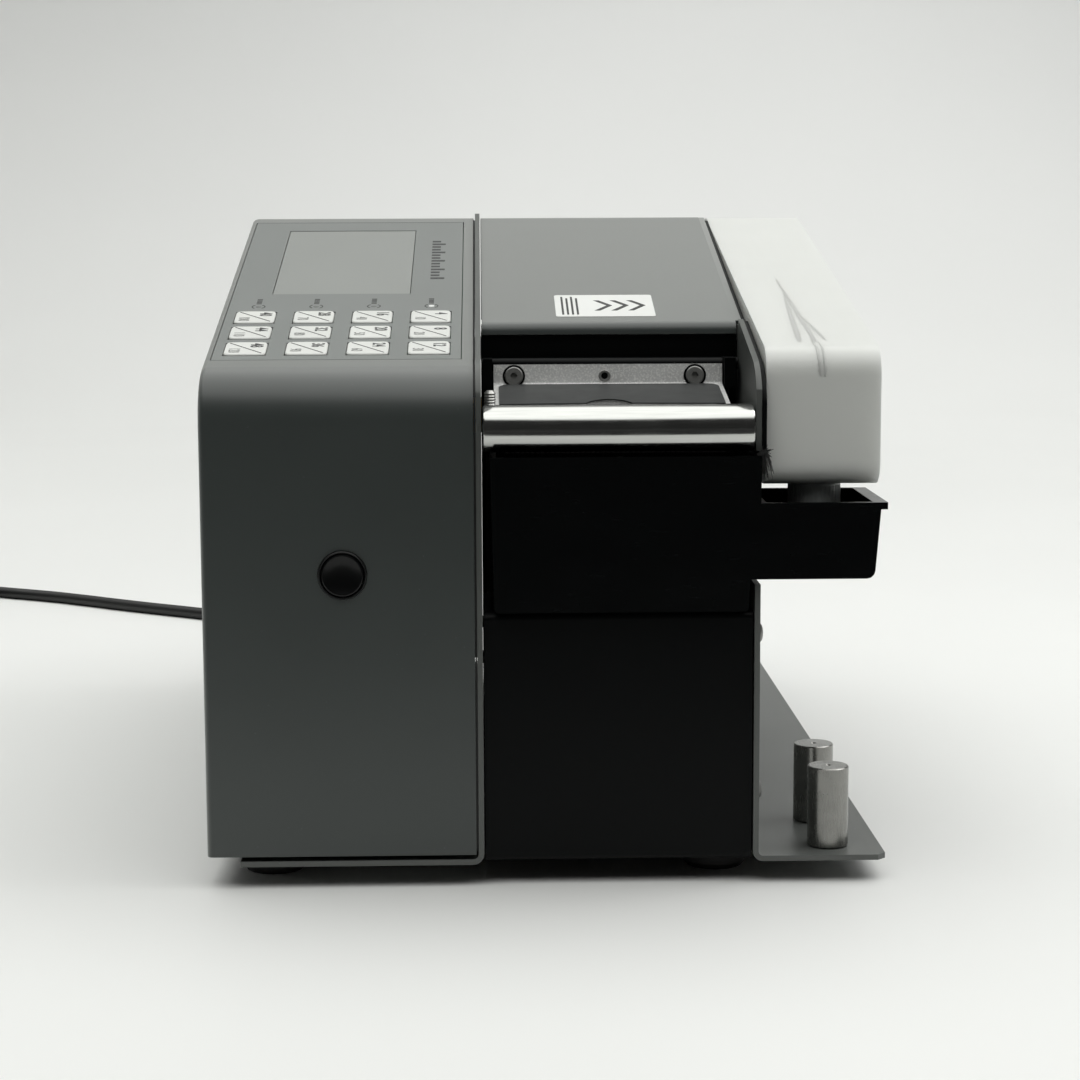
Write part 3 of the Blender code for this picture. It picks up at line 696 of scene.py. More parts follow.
def add_prism(bm: bmesh.types.BMesh, outline: Sequence[Vector], low: float, high: float,
              place: Matrix) -> None:
    """Adds a prism, in millimetres.

    Args:
        bm: the mesh to add to.
        outline: its outline in local XY.
        low: local height of its foot.
        high: local height of its top.
        place: matrix from the outline's plane to the frame.
    """
    rings = []
    for height in (low, high):
        rings.append([bm.verts.new(place @ (Vector((p.x, p.y, height)) * MM)) for p in outline])
    bm.faces.new(list(reversed(rings[0])))
    bm.faces.new(rings[1])
    count = len(outline)
    for index in range(count):
        after = (index + 1) % count
        bm.faces.new((rings[0][index], rings[0][after], rings[1][after], rings[1][index]))


def add_sleeve(bm: bmesh.types.BMesh, outer: Sequence[Vector], inner: Sequence[Vector], low: float,
               high: float, place: Matrix) -> None:
    """Adds a closed band between two outlines with as many points, in millimetres.

    Args:
        bm: the mesh to add to.
        outer: the band's outside in local XY.
        inner: its inside.
        low: local height of its one edge.
        high: local height of the other.
        place: matrix from the outlines' plane to the frame.
    """
    rings = []
    for outline in (outer, inner):
        for height in (low, high):
            rings.append([bm.verts.new(place @ (Vector((p.x, p.y, height)) * MM)) for p in outline])
    order = (rings[0], rings[1], rings[3], rings[2], rings[0])
    for first, second in zip(order, order[1:]):
        for index in range(len(first)):
            after = (index + 1) % len(first)
            bm.faces.new((first[index], first[after], second[after], second[index]))


def add_turned(bm: bmesh.types.BMesh, profile: Sequence[Tuple[float, float]], place: Matrix,
               steps: int = 48) -> None:
    """Adds a turned solid from (radius, height) points, in millimetres.

    Args:
        bm: the mesh to add to.
        profile: points from one end to the other; a closed ring if no radius is zero.
        place: matrix from the turned axis Z to the frame.
        steps: segments round.
    """
    rings = []
    for radius, height in profile:
        if radius <= 0:
            rings.append([bm.verts.new(place @ (Vector((0, 0, height)) * MM))])
            continue
        ring = []
        for step in range(steps):
            angle = 2 * math.pi * step / steps
            point = Vector((radius * math.cos(angle), radius * math.sin(angle), height))
            ring.append(bm.verts.new(place @ (point * MM)))
        rings.append(ring)
    pairs = list(zip(rings, rings[1:]))
    if all(radius > 0 for radius, _ in profile):
        pairs.append((rings[-1], rings[0]))
    for first, second in pairs:
        for step in range(steps):
            after = (step + 1) % steps
            corners = [first[step % len(first)], second[step % len(second)],
                       second[after % len(second)], first[after % len(first)]]
            unique = list(dict.fromkeys(corners))
            if len(unique) > 2:
                bm.faces.new(unique)


def aim(at: Vector, axis: Axis) -> Matrix:
    """The matrix that stands local Z along an axis at a point."""
    return Matrix.Translation(at) @ Vector(axis.value).to_track_quat("Z", "Y").to_matrix().to_4x4()


def bevel_all(bm: bmesh.types.BMesh, width: float, segments: int, least_angle: float = 50.0) -> None:
    """Rounds the sharp edges of a mesh.

    Args:
        bm: the mesh.
        width: width of the rounding in millimetres.
        segments: faces across it.
        least_angle: edges with a smaller angle in degrees are left alone.
    """
    edges = [edge for edge in bm.edges if edge.is_manifold
             and edge.calc_face_angle(0.0) > math.radians(least_angle)]
    bmesh.ops.bevel(bm, geom=edges, offset=width * MM, segments=segments, affect="EDGES", profile=0.5)


def carved(obj: bpy.types.Object, cutter: bmesh.types.BMesh) -> bpy.types.Object:
    """Cuts one mesh from an object and leaves no modifier behind.

    Args:
        obj: the object to cut.
        cutter: mesh of the cutter; it is freed.

    Returns:
        The object.
    """
    mesh = bpy.data.meshes.new("cutter")
    bmesh.ops.recalc_face_normals(cutter, faces=cutter.faces)
    cutter.to_mesh(mesh)
    cutter.free()
    tool = bpy.data.objects.new("cutter", mesh)
    bpy.context.scene.collection.objects.link(tool)
    cut = obj.modifiers.new("cut", "BOOLEAN")
    cut.operation = "DIFFERENCE"
    cut.object = tool
    bpy.context.view_layer.update()
    result = bpy.data.meshes.new_from_object(obj.evaluated_get(bpy.context.evaluated_depsgraph_get()))
    obj.modifiers.clear()
    obj.data = result
    bpy.data.objects.remove(tool, do_unlink=True)
    bpy.data.meshes.remove(mesh)
    return obj


def add_text(bm: bmesh.types.BMesh, words: str, height: float, place: Matrix, squeeze: float = 1.0,
             bold: float = 0.0) -> None:
    """Adds plain digits, centred, as a thin raised print.

    Args:
        bm: the mesh to add to.
        words: the digits.
        height: letter size in millimetres.
        place: matrix of the print's own plane.
        squeeze: width factor.
        bold: growth of the strokes in millimetres.
    """
    curve = bpy.data.curves.new("digits", "FONT")
    curve.body = words
    curve.size = height * MM
    curve.align_x = "CENTER"
    curve.align_y = "CENTER"
    curve.extrude = PRINT_HALF * MM
    curve.offset = bold * MM
    curve.resolution_u = 3
    drawn = bpy.data.objects.new("digits", curve)
    bpy.context.scene.collection.objects.link(drawn)
    bpy.context.view_layer.update()
    mesh = bpy.data.meshes.new_from_object(drawn.evaluated_get(bpy.context.evaluated_depsgraph_get()))
    mesh.transform(place @ Matrix.Diagonal((squeeze, 1.0, 1.0, 1.0)))
    bm.from_mesh(mesh)
    bpy.data.objects.remove(drawn, do_unlink=True)
    bpy.data.meshes.remove(mesh)
    bpy.data.curves.remove(curve)


def box_centre(node: str) -> Vector:
    """The middle of a frame node's box, in metres."""
    low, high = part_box(node)
    return (Vector(low) + Vector(high)) / 2


# ---------------------------------------------------------------- sub-assemblies


@dataclass
class ControlHousing:
    """The left cover with its keypad, display, lamps and front button."""

    key_lengths: Tuple[int, ...] = tuple(range(4, 52, 4))
    key_top: float = 0.95
    print_lift: float = 0.04
    inches_size: float = 6.6
    inches_at: Tuple[float, float] = (-3.2, 3.7)
    metric_size: float = 6.0
    metric_at: Tuple[float, float] = (2.8, -4.1)
    lamp_y: float = 88.5
    lamp_columns: int = 4
    mark_rows: int = 4
    mark_pitch: float = 1.9
    ring_radius: float = 2.7
    ring_width: float = 0.45
    ring_half_sweep: float = 0.95
    scale_x: float = -20.0
    scale_y: float = 126.0
    scale_bars: int = 14
    scale_pitch: float = 4.3
    cap_radius: float = 7.68
    cap_depth: float = 8.8
    band_across: Tuple[float, float] = (-2.68, -2.12)

    def build(self) -> None:
        """Dresses the housing and adds what is printed or fitted on it."""
        dress(["control_housing"], CHARCOAL)
        dress(["keypad_overlay"], OVERLAY)
        dress(["display_window"], SCREEN)
        dress(["control_board", "main_board"], BOARD)
        dress(["power_supply"], ZINC)
        dress(["power_rocker"], GLOSS_BLACK)
        dress([f"key_{length}" for length in self.key_lengths], KEY_WHITE)
        for length in self.key_lengths:
            self.print_key(length)
        self.add_lamps()
        self.add_legends()
        self.add_front_button()
        self.add_seam_band()

    def print_plane(self, centre: Vector, lift: float) -> Matrix:
        """The matrix of a print on the slope, whose letters' tops point to the divider.

        Args:
            centre: a point of the frame.
            lift: height over that point along the slope's normal, in millimetres.

        Returns:
            The plane's matrix.
        """
        slope = Matrix.Rotation(SLOPE, 4, "X")
        turn = Matrix.Rotation(-QUARTER_TURN, 4, "Z")
        return Matrix.Translation(centre) @ slope @ Matrix.Translation((0, 0, lift * MM)) @ turn

    def print_key(self, length: int) -> None:
        """Prints a key: its length in inches, in centimetres and the line between them.

        Args:
            length: the key's tape length in inches.
        """
        plane = self.print_plane(box_centre(f"key_{length}"), self.key_top + self.print_lift)
        inches = bmesh.new()
        here = plane @ Matrix.Translation(Vector((*self.inches_at, 0)) * MM)
        add_text(inches, str(length), self.inches_size, here, squeeze=0.72, bold=0.12)
        line = [Vector((-6.3, -5.95)), Vector((-5.95, -6.3)), Vector((6.3, 5.95)), Vector((5.95, 6.3))]
        add_prism(inches, line, -PRINT_HALF, PRINT_HALF, plane)
        piece(f"key_inches_{length}", inches, f"key_{length}", INK)
        metric = bmesh.new()
        here = plane @ Matrix.Translation(Vector((*self.metric_at, 0)) * MM)
        add_text(metric, str(length * 5 // 2), self.metric_size, here, squeeze=0.6)
        piece(f"key_centimetres_{length}", metric, f"key_{length}", GREY_INK)

    def add_lamps(self) -> None:
        """Adds a lamp over each column of keys, between printed brackets."""
        slope = DATUM.slope()
        rings = bmesh.new()
        y = self.lamp_y / math.cos(SLOPE)
        for column, length in enumerate(self.key_lengths[::len(self.key_lengths) // self.lamp_columns]):
            x = (box_centre(f"key_{length}").x - DATUM.origin.x) / MM
            here = slope @ Matrix.Translation(Vector((x, y, 0)) * MM)
            lamp = bmesh.new()
            add_turned(lamp, [(0, 0.14), (0.7, 0.12), (1.1, 0.05), (1.15, -0.02), (0, -0.02)], here, 20)
            glass = LAMP_OFF if column else LAMP_ON
            piece(f"status_lamp_{column + 1}", lamp, "frame", glass)
            for side in (0.0, math.pi):
                add_prism(rings, self.bracket(side), *FILM_PRINT, here)
            for row in range(self.mark_rows):
                step = self.mark_pitch * row
                add_prism(rings, box_outline(-1.1, 3.6 + step, 0.9, 4.7 + step), *FILM_PRINT, here)
        piece("lamp_brackets", rings, "frame", INK)

    def bracket(self, side: float) -> List[Vector]:
        """The outline of one printed bracket of the pair that flanks a lamp.

        Args:
            side: angle of the bracket's middle.

        Returns:
            The outline's points.
        """
        outer, inner = self.ring_radius, self.ring_radius - self.ring_width
        steps = 8
        angles = [side + self.ring_half_sweep * (2 * step / steps - 1) for step in range(steps + 1)]
        arc = [Vector((outer * math.cos(a), outer * math.sin(a))) for a in angles]
        back = [Vector((inner * math.cos(a), inner * math.sin(a))) for a in reversed(angles)]
        return arc + back

    def add_legends(self) -> None:
        """Adds a plain scale of short bars beside the display, in place of lettering."""
        slope = DATUM.slope()
        bars = bmesh.new()
        for index in range(self.scale_bars):
            y = (self.scale_y + self.scale_pitch * index) / math.cos(SLOPE)
            width = 3.6 if index % 3 else 5.6
            add_prism(bars, box_outline(self.scale_x, y, self.scale_x + width, y + 2.2), *FILM_PRINT, slope)
        piece("display_scale", bars, "frame", INK)

    def add_front_button(self) -> None:
        """Replaces the push button and adds its bezel ring."""
        low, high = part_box("feed_button")
        centre = Vector(((low[0] + high[0]) / 2, DATUM.origin.y, (low[2] + high[2]) / 2))
        place = aim(centre, Axis.FRONT)
        cap = bmesh.new()
        profile = [(0, 0.5), (3.0, 0.62), (5.4, 1.0), (6.5, 1.55), (7.0, 1.7), (7.4, 1.55), (7.6, 1.1),
                   (self.cap_radius, 0.2), (self.cap_radius, -self.cap_depth), (0, -self.cap_depth)]
        add_turned(cap, profile, place, 64)
        piece("push_button", cap, "button", GLOSS_BLACK, ["feed_button"])
        ring = bmesh.new()
        profile = [(8.0, 0.9), (8.35, 1.0), (8.65, 0.75), (8.72, 0.3), (8.72, -1.9), (8.0, -1.9)]
        add_turned(ring, profile, place, 64)
        piece("button_bezel", ring, "frame", RIM_GREY)

    def add_seam_band(self) -> None:
        """Adds the thin foam band that closes the seam between the housing and the divider."""
        outer = arc_corners([(0.8, 12.9, 0.5), (0.8, 183.0, 18.0), (222, 240.3, 20.0), (399.2, 240.3, 22.0),
                             (399.2, 12.9, 0.5)])
        inner = arc_corners([(6.0, 18.0, 0.5), (6.0, 178.6, 13.0), (222.8, 235.0, 20.0), (394.0, 235.0, 17.0),
                             (394.0, 18.0, 0.5)])
        band = bmesh.new()
        add_sleeve(band, outer, inner, *self.band_across, DATUM.side_view(DATUM.origin.x))
        piece("seam_band", band, "frame", FOOT_RUBBER)


@dataclass
class Chassis:
    """Folded plates, base ear, feet, posts and the fasteners of the side plate."""

    screw_places: Tuple[Tuple[float, float], ...] = ((15, 89.8), (15, 31.6), (385, 160), (385, 31.6))
    screw_x: float = 99.55
    recess_turn: float = 0.3
    recess_half: Tuple[float, float] = (2.1, 0.35)
    post_sides: Tuple[str, ...] = ("front", "rear")

    def build(self) -> None:
        """Dresses the plates and adds screws and posts."""
        dress(["divider_chassis", "side_plate"], CHASSIS_GREY)
        dress(["bottle_cradle"], SATIN_BLACK)
        dress(["floor_pan", "lower_front_panel", "pinch_bracket", "cutter_bridge"], SATIN_BLACK)
        dress(["lid_hinge", "tape_ramp", "cutter_solenoid", "feed_motor"], ZINC)
        corners = ("front_left", "rear_left", "front_right", "rear_right")
        dress([f"rubber_foot_{corner}" for corner in corners], FOOT_RUBBER)
        for index, (y, z) in enumerate(self.screw_places):
            self.add_pan_head(index + 1, y, z)
        for side in self.post_sides:
            self.add_post(side)

    def add_pan_head(self, number: int, y: float, z: float) -> None:
        """Adds one pan-head screw with a cross recess on the side plate.

        Args:
            number: the screw's number.
            y: its depth.
            z: its height.
        """
        head = bmesh.new()
        place = aim(DATUM.at(self.screw_x, y, z), Axis.X)
        profile = [(0, 2.5), (1.6, 2.45), (2.8, 2.1), (3.6, 1.4), (3.95, 0.6), (4.0, 0), (0, 0)]
        add_turned(head, profile, place, 32)
        screw = piece(f"pan_head_screw_{number}", head, "frame", SCREW_METAL)
        length, width = self.recess_half
        for turn in (self.recess_turn, self.recess_turn + QUARTER_TURN):
            cross = bmesh.new()
            bar = box_outline(-length, -width, length, width)
            add_prism(cross, bar, 1.0, 4.0, place @ Matrix.Rotation(turn, 4, "Z"))
            carved(screw, cross)
        soften(screw)

    def add_post(self, side: str) -> None:
        """Replaces a steel post by one with a chamfer and a centre-drilled top.

        Args:
            side: which post.
        """
        node = f"steel_post_{side}"
        low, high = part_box(node)
        centre = box_centre(node)
        radius = (high[0] - low[0]) / 2 / MM
        foot, top = low[2] / MM, high[2] / MM
        post = bmesh.new()
        profile = [(0, top - 1.1), (0.75, top - 0.35), (1.15, top), (radius - 0.35, top),
                   (radius, top - 0.35), (radius, foot + 0.3), (radius - 0.3, foot), (0, foot)]
        add_turned(post, profile, aim(Vector((centre.x, centre.y, 0)), Axis.Z), 64)
        piece(f"clamp_post_{side}", post, "frame", POST_METAL, [node], FINE_ANGLE)


@dataclass
class Cover:
    """The hinged lid over the tape roll, with its plain label."""

    label_x: Tuple[float, float] = (29.0, 67.2)
    label_y: Tuple[float, float] = (73.2, 101.8)
    label_thickness: Tuple[float, float] = (0.02, 0.14)
    mark_thickness: Tuple[float, float] = (0.15, 0.18)
    chevrons: int = 3
    chevron_pitch: float = 6.5
    chevron_half: float = 7.0
    stripes: int = 4
    stripe_pitch: float = 1.9
    stripe_width: float = 0.8
    margin: float = 2.6

    def build(self) -> None:
        """Dresses the lid and sticks the label on."""
        dress(["tape_cover"], CHARCOAL)
        slope = DATUM.slope()
        x0, x1 = self.label_x
        y0, y1 = (y / math.cos(SLOPE) for y in self.label_y)
        label = bmesh.new()
        add_prism(label, round_box(x0, y0, x1, y1, 1.2, 4), *self.label_thickness, slope)
        piece("lid_label", label, "cover", PAPER)
        marks = bmesh.new()
        for index in range(self.chevrons):
            self.add_chevron(marks, x0 + 15.0 + self.chevron_pitch * index, (y0 + y1) / 2, slope)
        for index in range(self.stripes):
            left = x0 + 2.4 + self.stripe_pitch * index
            top = y1 - self.margin - 2.0 * (index % 2)
            stripe = box_outline(left, y0 + self.margin, left + self.stripe_width, top)
            add_prism(marks, stripe, *self.mark_thickness, slope)
        piece("lid_label_marks", marks, "cover", INK)

    def add_chevron(self, bm: bmesh.types.BMesh, x: float, y: float, slope: Matrix) -> None:
        """Adds one arrowhead of the direction mark.

        Args:
            bm: the mesh to add to.
            x: its left end.
            y: its middle along the slope.
            slope: matrix of the sloping top.
        """
        half = self.chevron_half
        outline = [Vector((x, y - half)), Vector((x + 2.2, y - half)), Vector((x + 7.2, y)),
                   Vector((x + 2.2, y + half)), Vector((x, y + half)), Vector((x + 5.0, y))]
        add_prism(bm, outline, *self.mark_thickness, slope)


@dataclass
class FeedAndCut:
    """Rollers, gears, blades and the pressure plate with its fasteners."""

    screw_xs: Tuple[float, ...] = (12.4, 80.3)
    hole_x: float = 46.4
    screw_z: float = 181.4
    tilt: float = math.radians(8.5)
    face_foot: Tuple[float, float] = (53.4, 177.6)
    face_top: Tuple[float, float] = (54.6, 185.6)
    face_proud: float = 0.78
    socket_radius: float = 1.35
    socket_floor: float = 0.12
    shoe_front: Tuple[float, float] = (22.0, 171.9)
    shoe_x: Tuple[float, float] = (6.6, 88.8)
    shoe_corner: float = 4.5
    shoe_thickness: Tuple[float, float] = (0.8, 1.3)
    notch_x: float = 46.5
    notch_radius: float = 8.8
    notch_steps: int = 16

    def build(self) -> None:
        """Dresses the feed train and adds the plate's screws and shoe."""
        dress(["feed_roller"], ROLLER_RUBBER)
        dress(["pinch_roller", "motor_pinion", "fixed_blade", "moving_blade", "blade_plunger"], STAINLESS)
        dress(["roll_support_front", "roll_support_rear"], ZINC)
        dress(["feed_gear", "feed_bearing"], BRASS)
        dress(["pressure_plate"], BLASTED)
        dress(["pressure_arms"], SATIN_BLACK)
        for index, x in enumerate(self.screw_xs):
            self.add_socket_screw(index + 1, x)
        self.add_rivet()
        self.add_shoe()

    def face(self, x: float, z: float) -> Matrix:
        """The matrix of a point on the upright face of the plate, looking forward.

        Args:
            x: the point's place across.
            z: its height.

        Returns:
            The matrix.
        """
        foot, top = Vector(self.face_foot), Vector(self.face_top)
        y = foot.lerp(top, (z - foot.y) / (top.y - foot.y)).x - self.face_proud
        turn = Matrix.Rotation(QUARTER_TURN - self.tilt, 4, "X")
        return Matrix.Translation(DATUM.at(x, y, z)) @ turn

    def add_socket_screw(self, number: int, x: float) -> None:
        """Adds one socket-head screw with its dark washer ring.

        Args:
            number: the screw's number.
            x: its place across.
        """
        place = self.face(x, self.screw_z)
        ring = bmesh.new()
        add_turned(ring, [(3.45, 0.5), (4.2, 0.35), (4.2, 0.05), (3.45, 0.05)], place, 48)
        piece(f"screw_seat_{number}", ring, "pressure", GLOSS_BLACK)
        head = bmesh.new()
        add_turned(head, [(0, 1.2), (3.0, 1.2), (3.35, 0.95), (3.35, 0.05), (0, 0.05)], place, 48)
        screw = piece(f"socket_screw_{number}", head, "pressure", SCREW_METAL)
        socket = bmesh.new()
        angles = [math.pi / 3 * corner for corner in range(6)]
        hexagon = [Vector((math.cos(angle), math.sin(angle))) * self.socket_radius for angle in angles]
        add_prism(socket, hexagon, self.socket_floor, 3.0, place)
        soften(carved(screw, socket), 20.0)

    def add_rivet(self) -> None:
        """Adds the small eyelet between the screws, with a black disc painted as the shade inside its hole.
        """
        place = self.face(self.hole_x, self.screw_z)
        eyelet = bmesh.new()
        add_turned(eyelet, [(1.3, 0.25), (2.0, 0.35), (2.25, 0.2), (2.25, 0.05), (1.3, 0.05)], place, 32)
        piece("plate_eyelet", eyelet, "pressure", SCREW_METAL)
        # Painted shade: a black disc stands for the dark inside of the plate's hole.
        plug = bmesh.new()
        add_turned(plug, [(0, 0.1), (1.25, 0.1), (1.25, 0.05), (0, 0.05)], place, 24)
        piece("plate_hole_painted_shade", plug, "pressure", SATIN_BLACK)

    def add_shoe(self) -> None:
        """Adds the thin dark shoe on the sloping part of the plate, with its finger notch."""
        rear, front = Vector(self.face_foot), Vector(self.shoe_front)
        lean = math.atan2(rear.y - front.y, rear.x - front.x)
        place = Matrix.Translation(DATUM.at(0.0, front.x, front.y)) @ Matrix.Rotation(lean, 4, "X")
        left, right = self.shoe_x
        near, far = 0.2, (rear - front).length - 2.2
        angles = [math.pi * (1 - step / self.notch_steps) for step in range(self.notch_steps + 1)]
        notch = [Vector((self.notch_x, -2.0)) + Vector((math.cos(angle), math.sin(angle))) * self.notch_radius
                 for angle in angles]
        rounded = arc_corners([(right, far, self.shoe_corner), (left, far, self.shoe_corner),
                               (left, near, 0.0), (right, near, 0.0)])
        outline = [Vector((left, near)), *[point for point in notch if point.y > near],
                   Vector((right, near)), *rounded[:-2]]
        shoe = bmesh.new()
        add_prism(shoe, outline, *self.shoe_thickness, place)
        piece("pressure_shoe", shoe, "pressure", SHOE_STEEL)


@dataclass
class WaterSide:
    """Tank with its brush and bar, the bottle and its cap."""

    tuft_rows: int = 7
    tuft_columns: int = 44
    tuft_foot: float = 0.75
    tuft_tip: float = 0.5
    brush_back_height: float = 13.0
    stray_count: int = 54
    seed: int = 7
    stud_at: Point = (3.2, 17.2, 165.4)
    stud_threads: int = 9
    stud_radius: float = 2.15
    bottle_bottom: float = 144.5
    bottle_corner: float = 192.4
    bottle_bend: float = 11.0
    bottle_crest: float = 232.0
    ridge_front: float = 5.0
    ridge_crest_z: float = 240.8
    bottle_edge: float = 5.2
    ridge_steps: int = 12
    cap_ribs: int = 36

    def build(self) -> None:
        """Dresses the tank and builds bar, brush, bottle and cap."""
        dress(["water_tank"], TANK_BLACK)
        dress(["brush_bracket"], SATIN_BLACK)
        self.add_bar()
        self.add_bar_stud()
        self.add_brush()
        self.add_stray_bristles()
        self.add_bottle()
        self.add_cap()

    def add_bar(self) -> None:
        """Replaces the exit bar by a finely turned one with chamfered, dimpled ends."""
        low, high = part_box("guide_bar")
        centre = box_centre("guide_bar")
        radius = (high[2] - low[2]) / 2 / MM
        half = (high[0] - low[0]) / 2 / MM
        bar = bmesh.new()
        end = [(0, -1.2), (1.2, -0.2), (1.6, 0.0), (radius - 0.9, 0.0), (radius - 0.25, -0.35),
               (radius, -0.9)]
        profile = [(r, half + inset) for r, inset in end]
        profile += [(r, -half - inset) for r, inset in reversed(end)]
        add_turned(bar, profile, aim(centre, Axis.X), 96)
        piece("exit_bar", bar, "tank", BAR_METAL, ["guide_bar"], FINE_ANGLE)

    def add_bar_stud(self) -> None:
        """Adds the threaded stud that stands behind the bar's left end and holds it."""
        stud = bmesh.new()
        profile = [(0, 13.2), (1.2, 13.1), (1.9, 12.4)]
        for thread in range(self.stud_threads):
            level = 12.0 - thread
            profile += [(self.stud_radius, level), (self.stud_radius - 0.35, level - 0.5)]
        profile += [(self.stud_radius, 3.0), (self.stud_radius, 0.0), (0, 0.0)]
        add_turned(stud, profile, aim(DATUM.at(*self.stud_at), Axis.Z), 24)
        piece("bar_stud", stud, "tank", STAINLESS, (), 20.0)

    def add_brush(self) -> None:
        """Replaces the brush block by a backing bar full of tufts."""
        low, high = (Vector(corner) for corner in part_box("wetting_brush"))
        back_top = low.z + self.brush_back_height * MM
        back = bmesh.new()
        outline = box_outline(low.x / MM, low.y / MM, high.x / MM, high.y / MM)
        add_prism(back, outline, low.z / MM, back_top / MM, Matrix.Identity(4))
        bevel_all(back, 0.8, 2)
        piece("brush_back", back, "tank", TANK_BLACK, ["wetting_brush"])
        dice = random.Random(self.seed)
        tufts = bmesh.new()
        wide, deep = high.x - low.x - 3.2 * MM, high.y - low.y - 4.4 * MM
        for column in range(self.tuft_columns):
            for row in range(self.tuft_rows):
                x = low.x + 1.6 * MM + wide * (column + 0.5) / self.tuft_columns
                y = low.y + 2.2 * MM + deep * (row + 0.5) / self.tuft_rows
                tip = Vector((x + dice.uniform(-0.7, 0.7) * MM, y + dice.uniform(-0.7, 0.7) * MM,
                              high.z - dice.uniform(0.1, 1.6) * MM))
                foot = Vector((x, y, back_top - 0.5 * MM))
                self.add_strand(tufts, foot, tip, self.tuft_foot, self.tuft_tip)
        piece("brush_tufts", tufts, "tank", BRISTLES, (), STRAND_ANGLE)

    @staticmethod
    def add_strand(bm: bmesh.types.BMesh, foot: Vector, tip: Vector, foot_radius: float,
                   tip_radius: float) -> None:
        """Adds one tapered five-sided strand.

        Args:
            bm: the mesh to add to.
            foot: the strand's foot in metres.
            tip: its tip.
            foot_radius: radius at the foot in millimetres.
            tip_radius: radius at the tip.
        """
        turn = (tip - foot).to_track_quat("Z", "Y").to_matrix().to_4x4()
        length = (tip - foot).length / MM
        profile = [(0, 0), (foot_radius, 0), (tip_radius, length), (0, length)]
        add_turned(bm, profile, Matrix.Translation(foot) @ turn, 5)

    def add_stray_bristles(self) -> None:
        """Adds the worn bristles that hang over the tank's right end below the bar."""
        dice = random.Random(self.seed + 1)
        stray = bmesh.new()
        for _ in range(self.stray_count):
            root = DATUM.at(dice.uniform(97.6, 99.2), dice.uniform(-2.6, 2.6), dice.uniform(156.1, 156.4))
            reach, drop = dice.uniform(0.8, 4.2), dice.uniform(-4.0, 9.5)
            knee = root + Vector((0.5 * reach + 0.3, dice.uniform(-0.4, 0.4), 1.2)) * MM
            tip = root + Vector((reach + 0.5, dice.uniform(-0.8, 0.6), -drop)) * MM
            tip.y = min(tip.y, DATUM.at(0.0, 3.6, 0.0).y)
            self.add_strand(stray, root, knee, 0.24, 0.2)
            self.add_strand(stray, knee, tip, 0.2, 0.1)
        piece("stray_bristles", stray, "tank", BRISTLES, (), STRAND_ANGLE)

    def add_bottle(self) -> None:
        """Replaces the bottle by a smooth blown form with a neck, and adds its moulding ridges."""
        low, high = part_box("water_bottle")
        depth = DATUM.origin.y
        front, rear = (low[1] - depth) / MM, (high[1] - depth) / MM
        bottom, top = self.bottle_bottom, high[2] / MM
        side = [(front, bottom, 9), (front, self.bottle_corner, self.bottle_bend),
                (self.bottle_crest, top, 14), (rear, top, 9), (rear, bottom, 9)]
        half_width = (high[0] - low[0]) / 2 / MM
        place = DATUM.side_view((low[0] + high[0]) / 2)
        form = bmesh.new()
        add_prism(form, arc_corners(side, 10), -half_width, half_width, place)
        bevel_all(form, self.bottle_edge, 6, 60.0)
        cap = box_centre("bottle_cap")
        neck = [(0, 145.6), (8.1, 145.6), (8.1, 136.2), (6.4, 136.2), (6.4, 143.0), (0, 143.0)]
        add_turned(form, neck, Matrix.Translation((cap.x, cap.y, 0)), 40)
        piece("bottle_body", form, "bottle", BOTTLE_MILKY, ["water_bottle"], 40.0)
        self.add_ridges(place)

    def top_line(self, along: float) -> Tuple[Vector, Vector]:
        """A point and its normal in side view, on the sloping top and round the front bend.

        Args:
            along: depth of a point of the slope; below the bend's start, each millimetre
                is one millimetre round the bend.

        Returns:
            The point and the outward normal.
        """
        front, corner, radius = self.ridge_front, self.bottle_corner, self.bottle_bend
        rise = math.atan2(self.ridge_crest_z - corner, self.bottle_crest - front)
        reach = radius / math.tan((QUARTER_TURN + rise) / 2)
        start = front + reach * math.cos(rise)
        if along >= start:
            spot = Vector((along, corner + math.tan(rise) * (along - front), 0))
            return spot, Vector((-math.sin(rise), math.cos(rise), 0))
        centre = Vector((front + radius, corner - reach, 0))
        angle = QUARTER_TURN + rise + min((start - along) / radius, QUARTER_TURN - rise)
        normal = Vector((math.cos(angle), math.sin(angle), 0))
        return centre + normal * radius, normal

    def add_ridges(self, place: Matrix) -> None:
        """Adds the low moulding ridges that run down the sloping top and over the front bend.

        Args:
            place: matrix from the side view to the frame.
        """
        ridges = bmesh.new()
        runs = ((124, 8, -3.9, -1.2, 0.2, 1.3), (92, 12, -3.6, -7.4, 0.22, 1.5),
                (24, -4, -2.6, -1.2, 0.32, 0.9), (20, -8, -0.4, 0.8, 0.32, 0.8),
                (60, 16, -2.2, 3.2, 0.14, 1.0))
        for start, end, first, last, lift, half in runs:
            points = []
            for step in range(self.ridge_steps + 1):
                share = step / self.ridge_steps
                spot, normal = self.top_line(start + (end - start) * share)
                spot.z = first + (last - first) * share
                points.append((spot, normal, math.sin(math.pi * share) * lift, half * (0.4 + 0.6 * share)))
            self.add_ridge(ridges, points, place)
        piece("bottle_ridges", ridges, "bottle", BOTTLE_MILKY, (), 80.0)

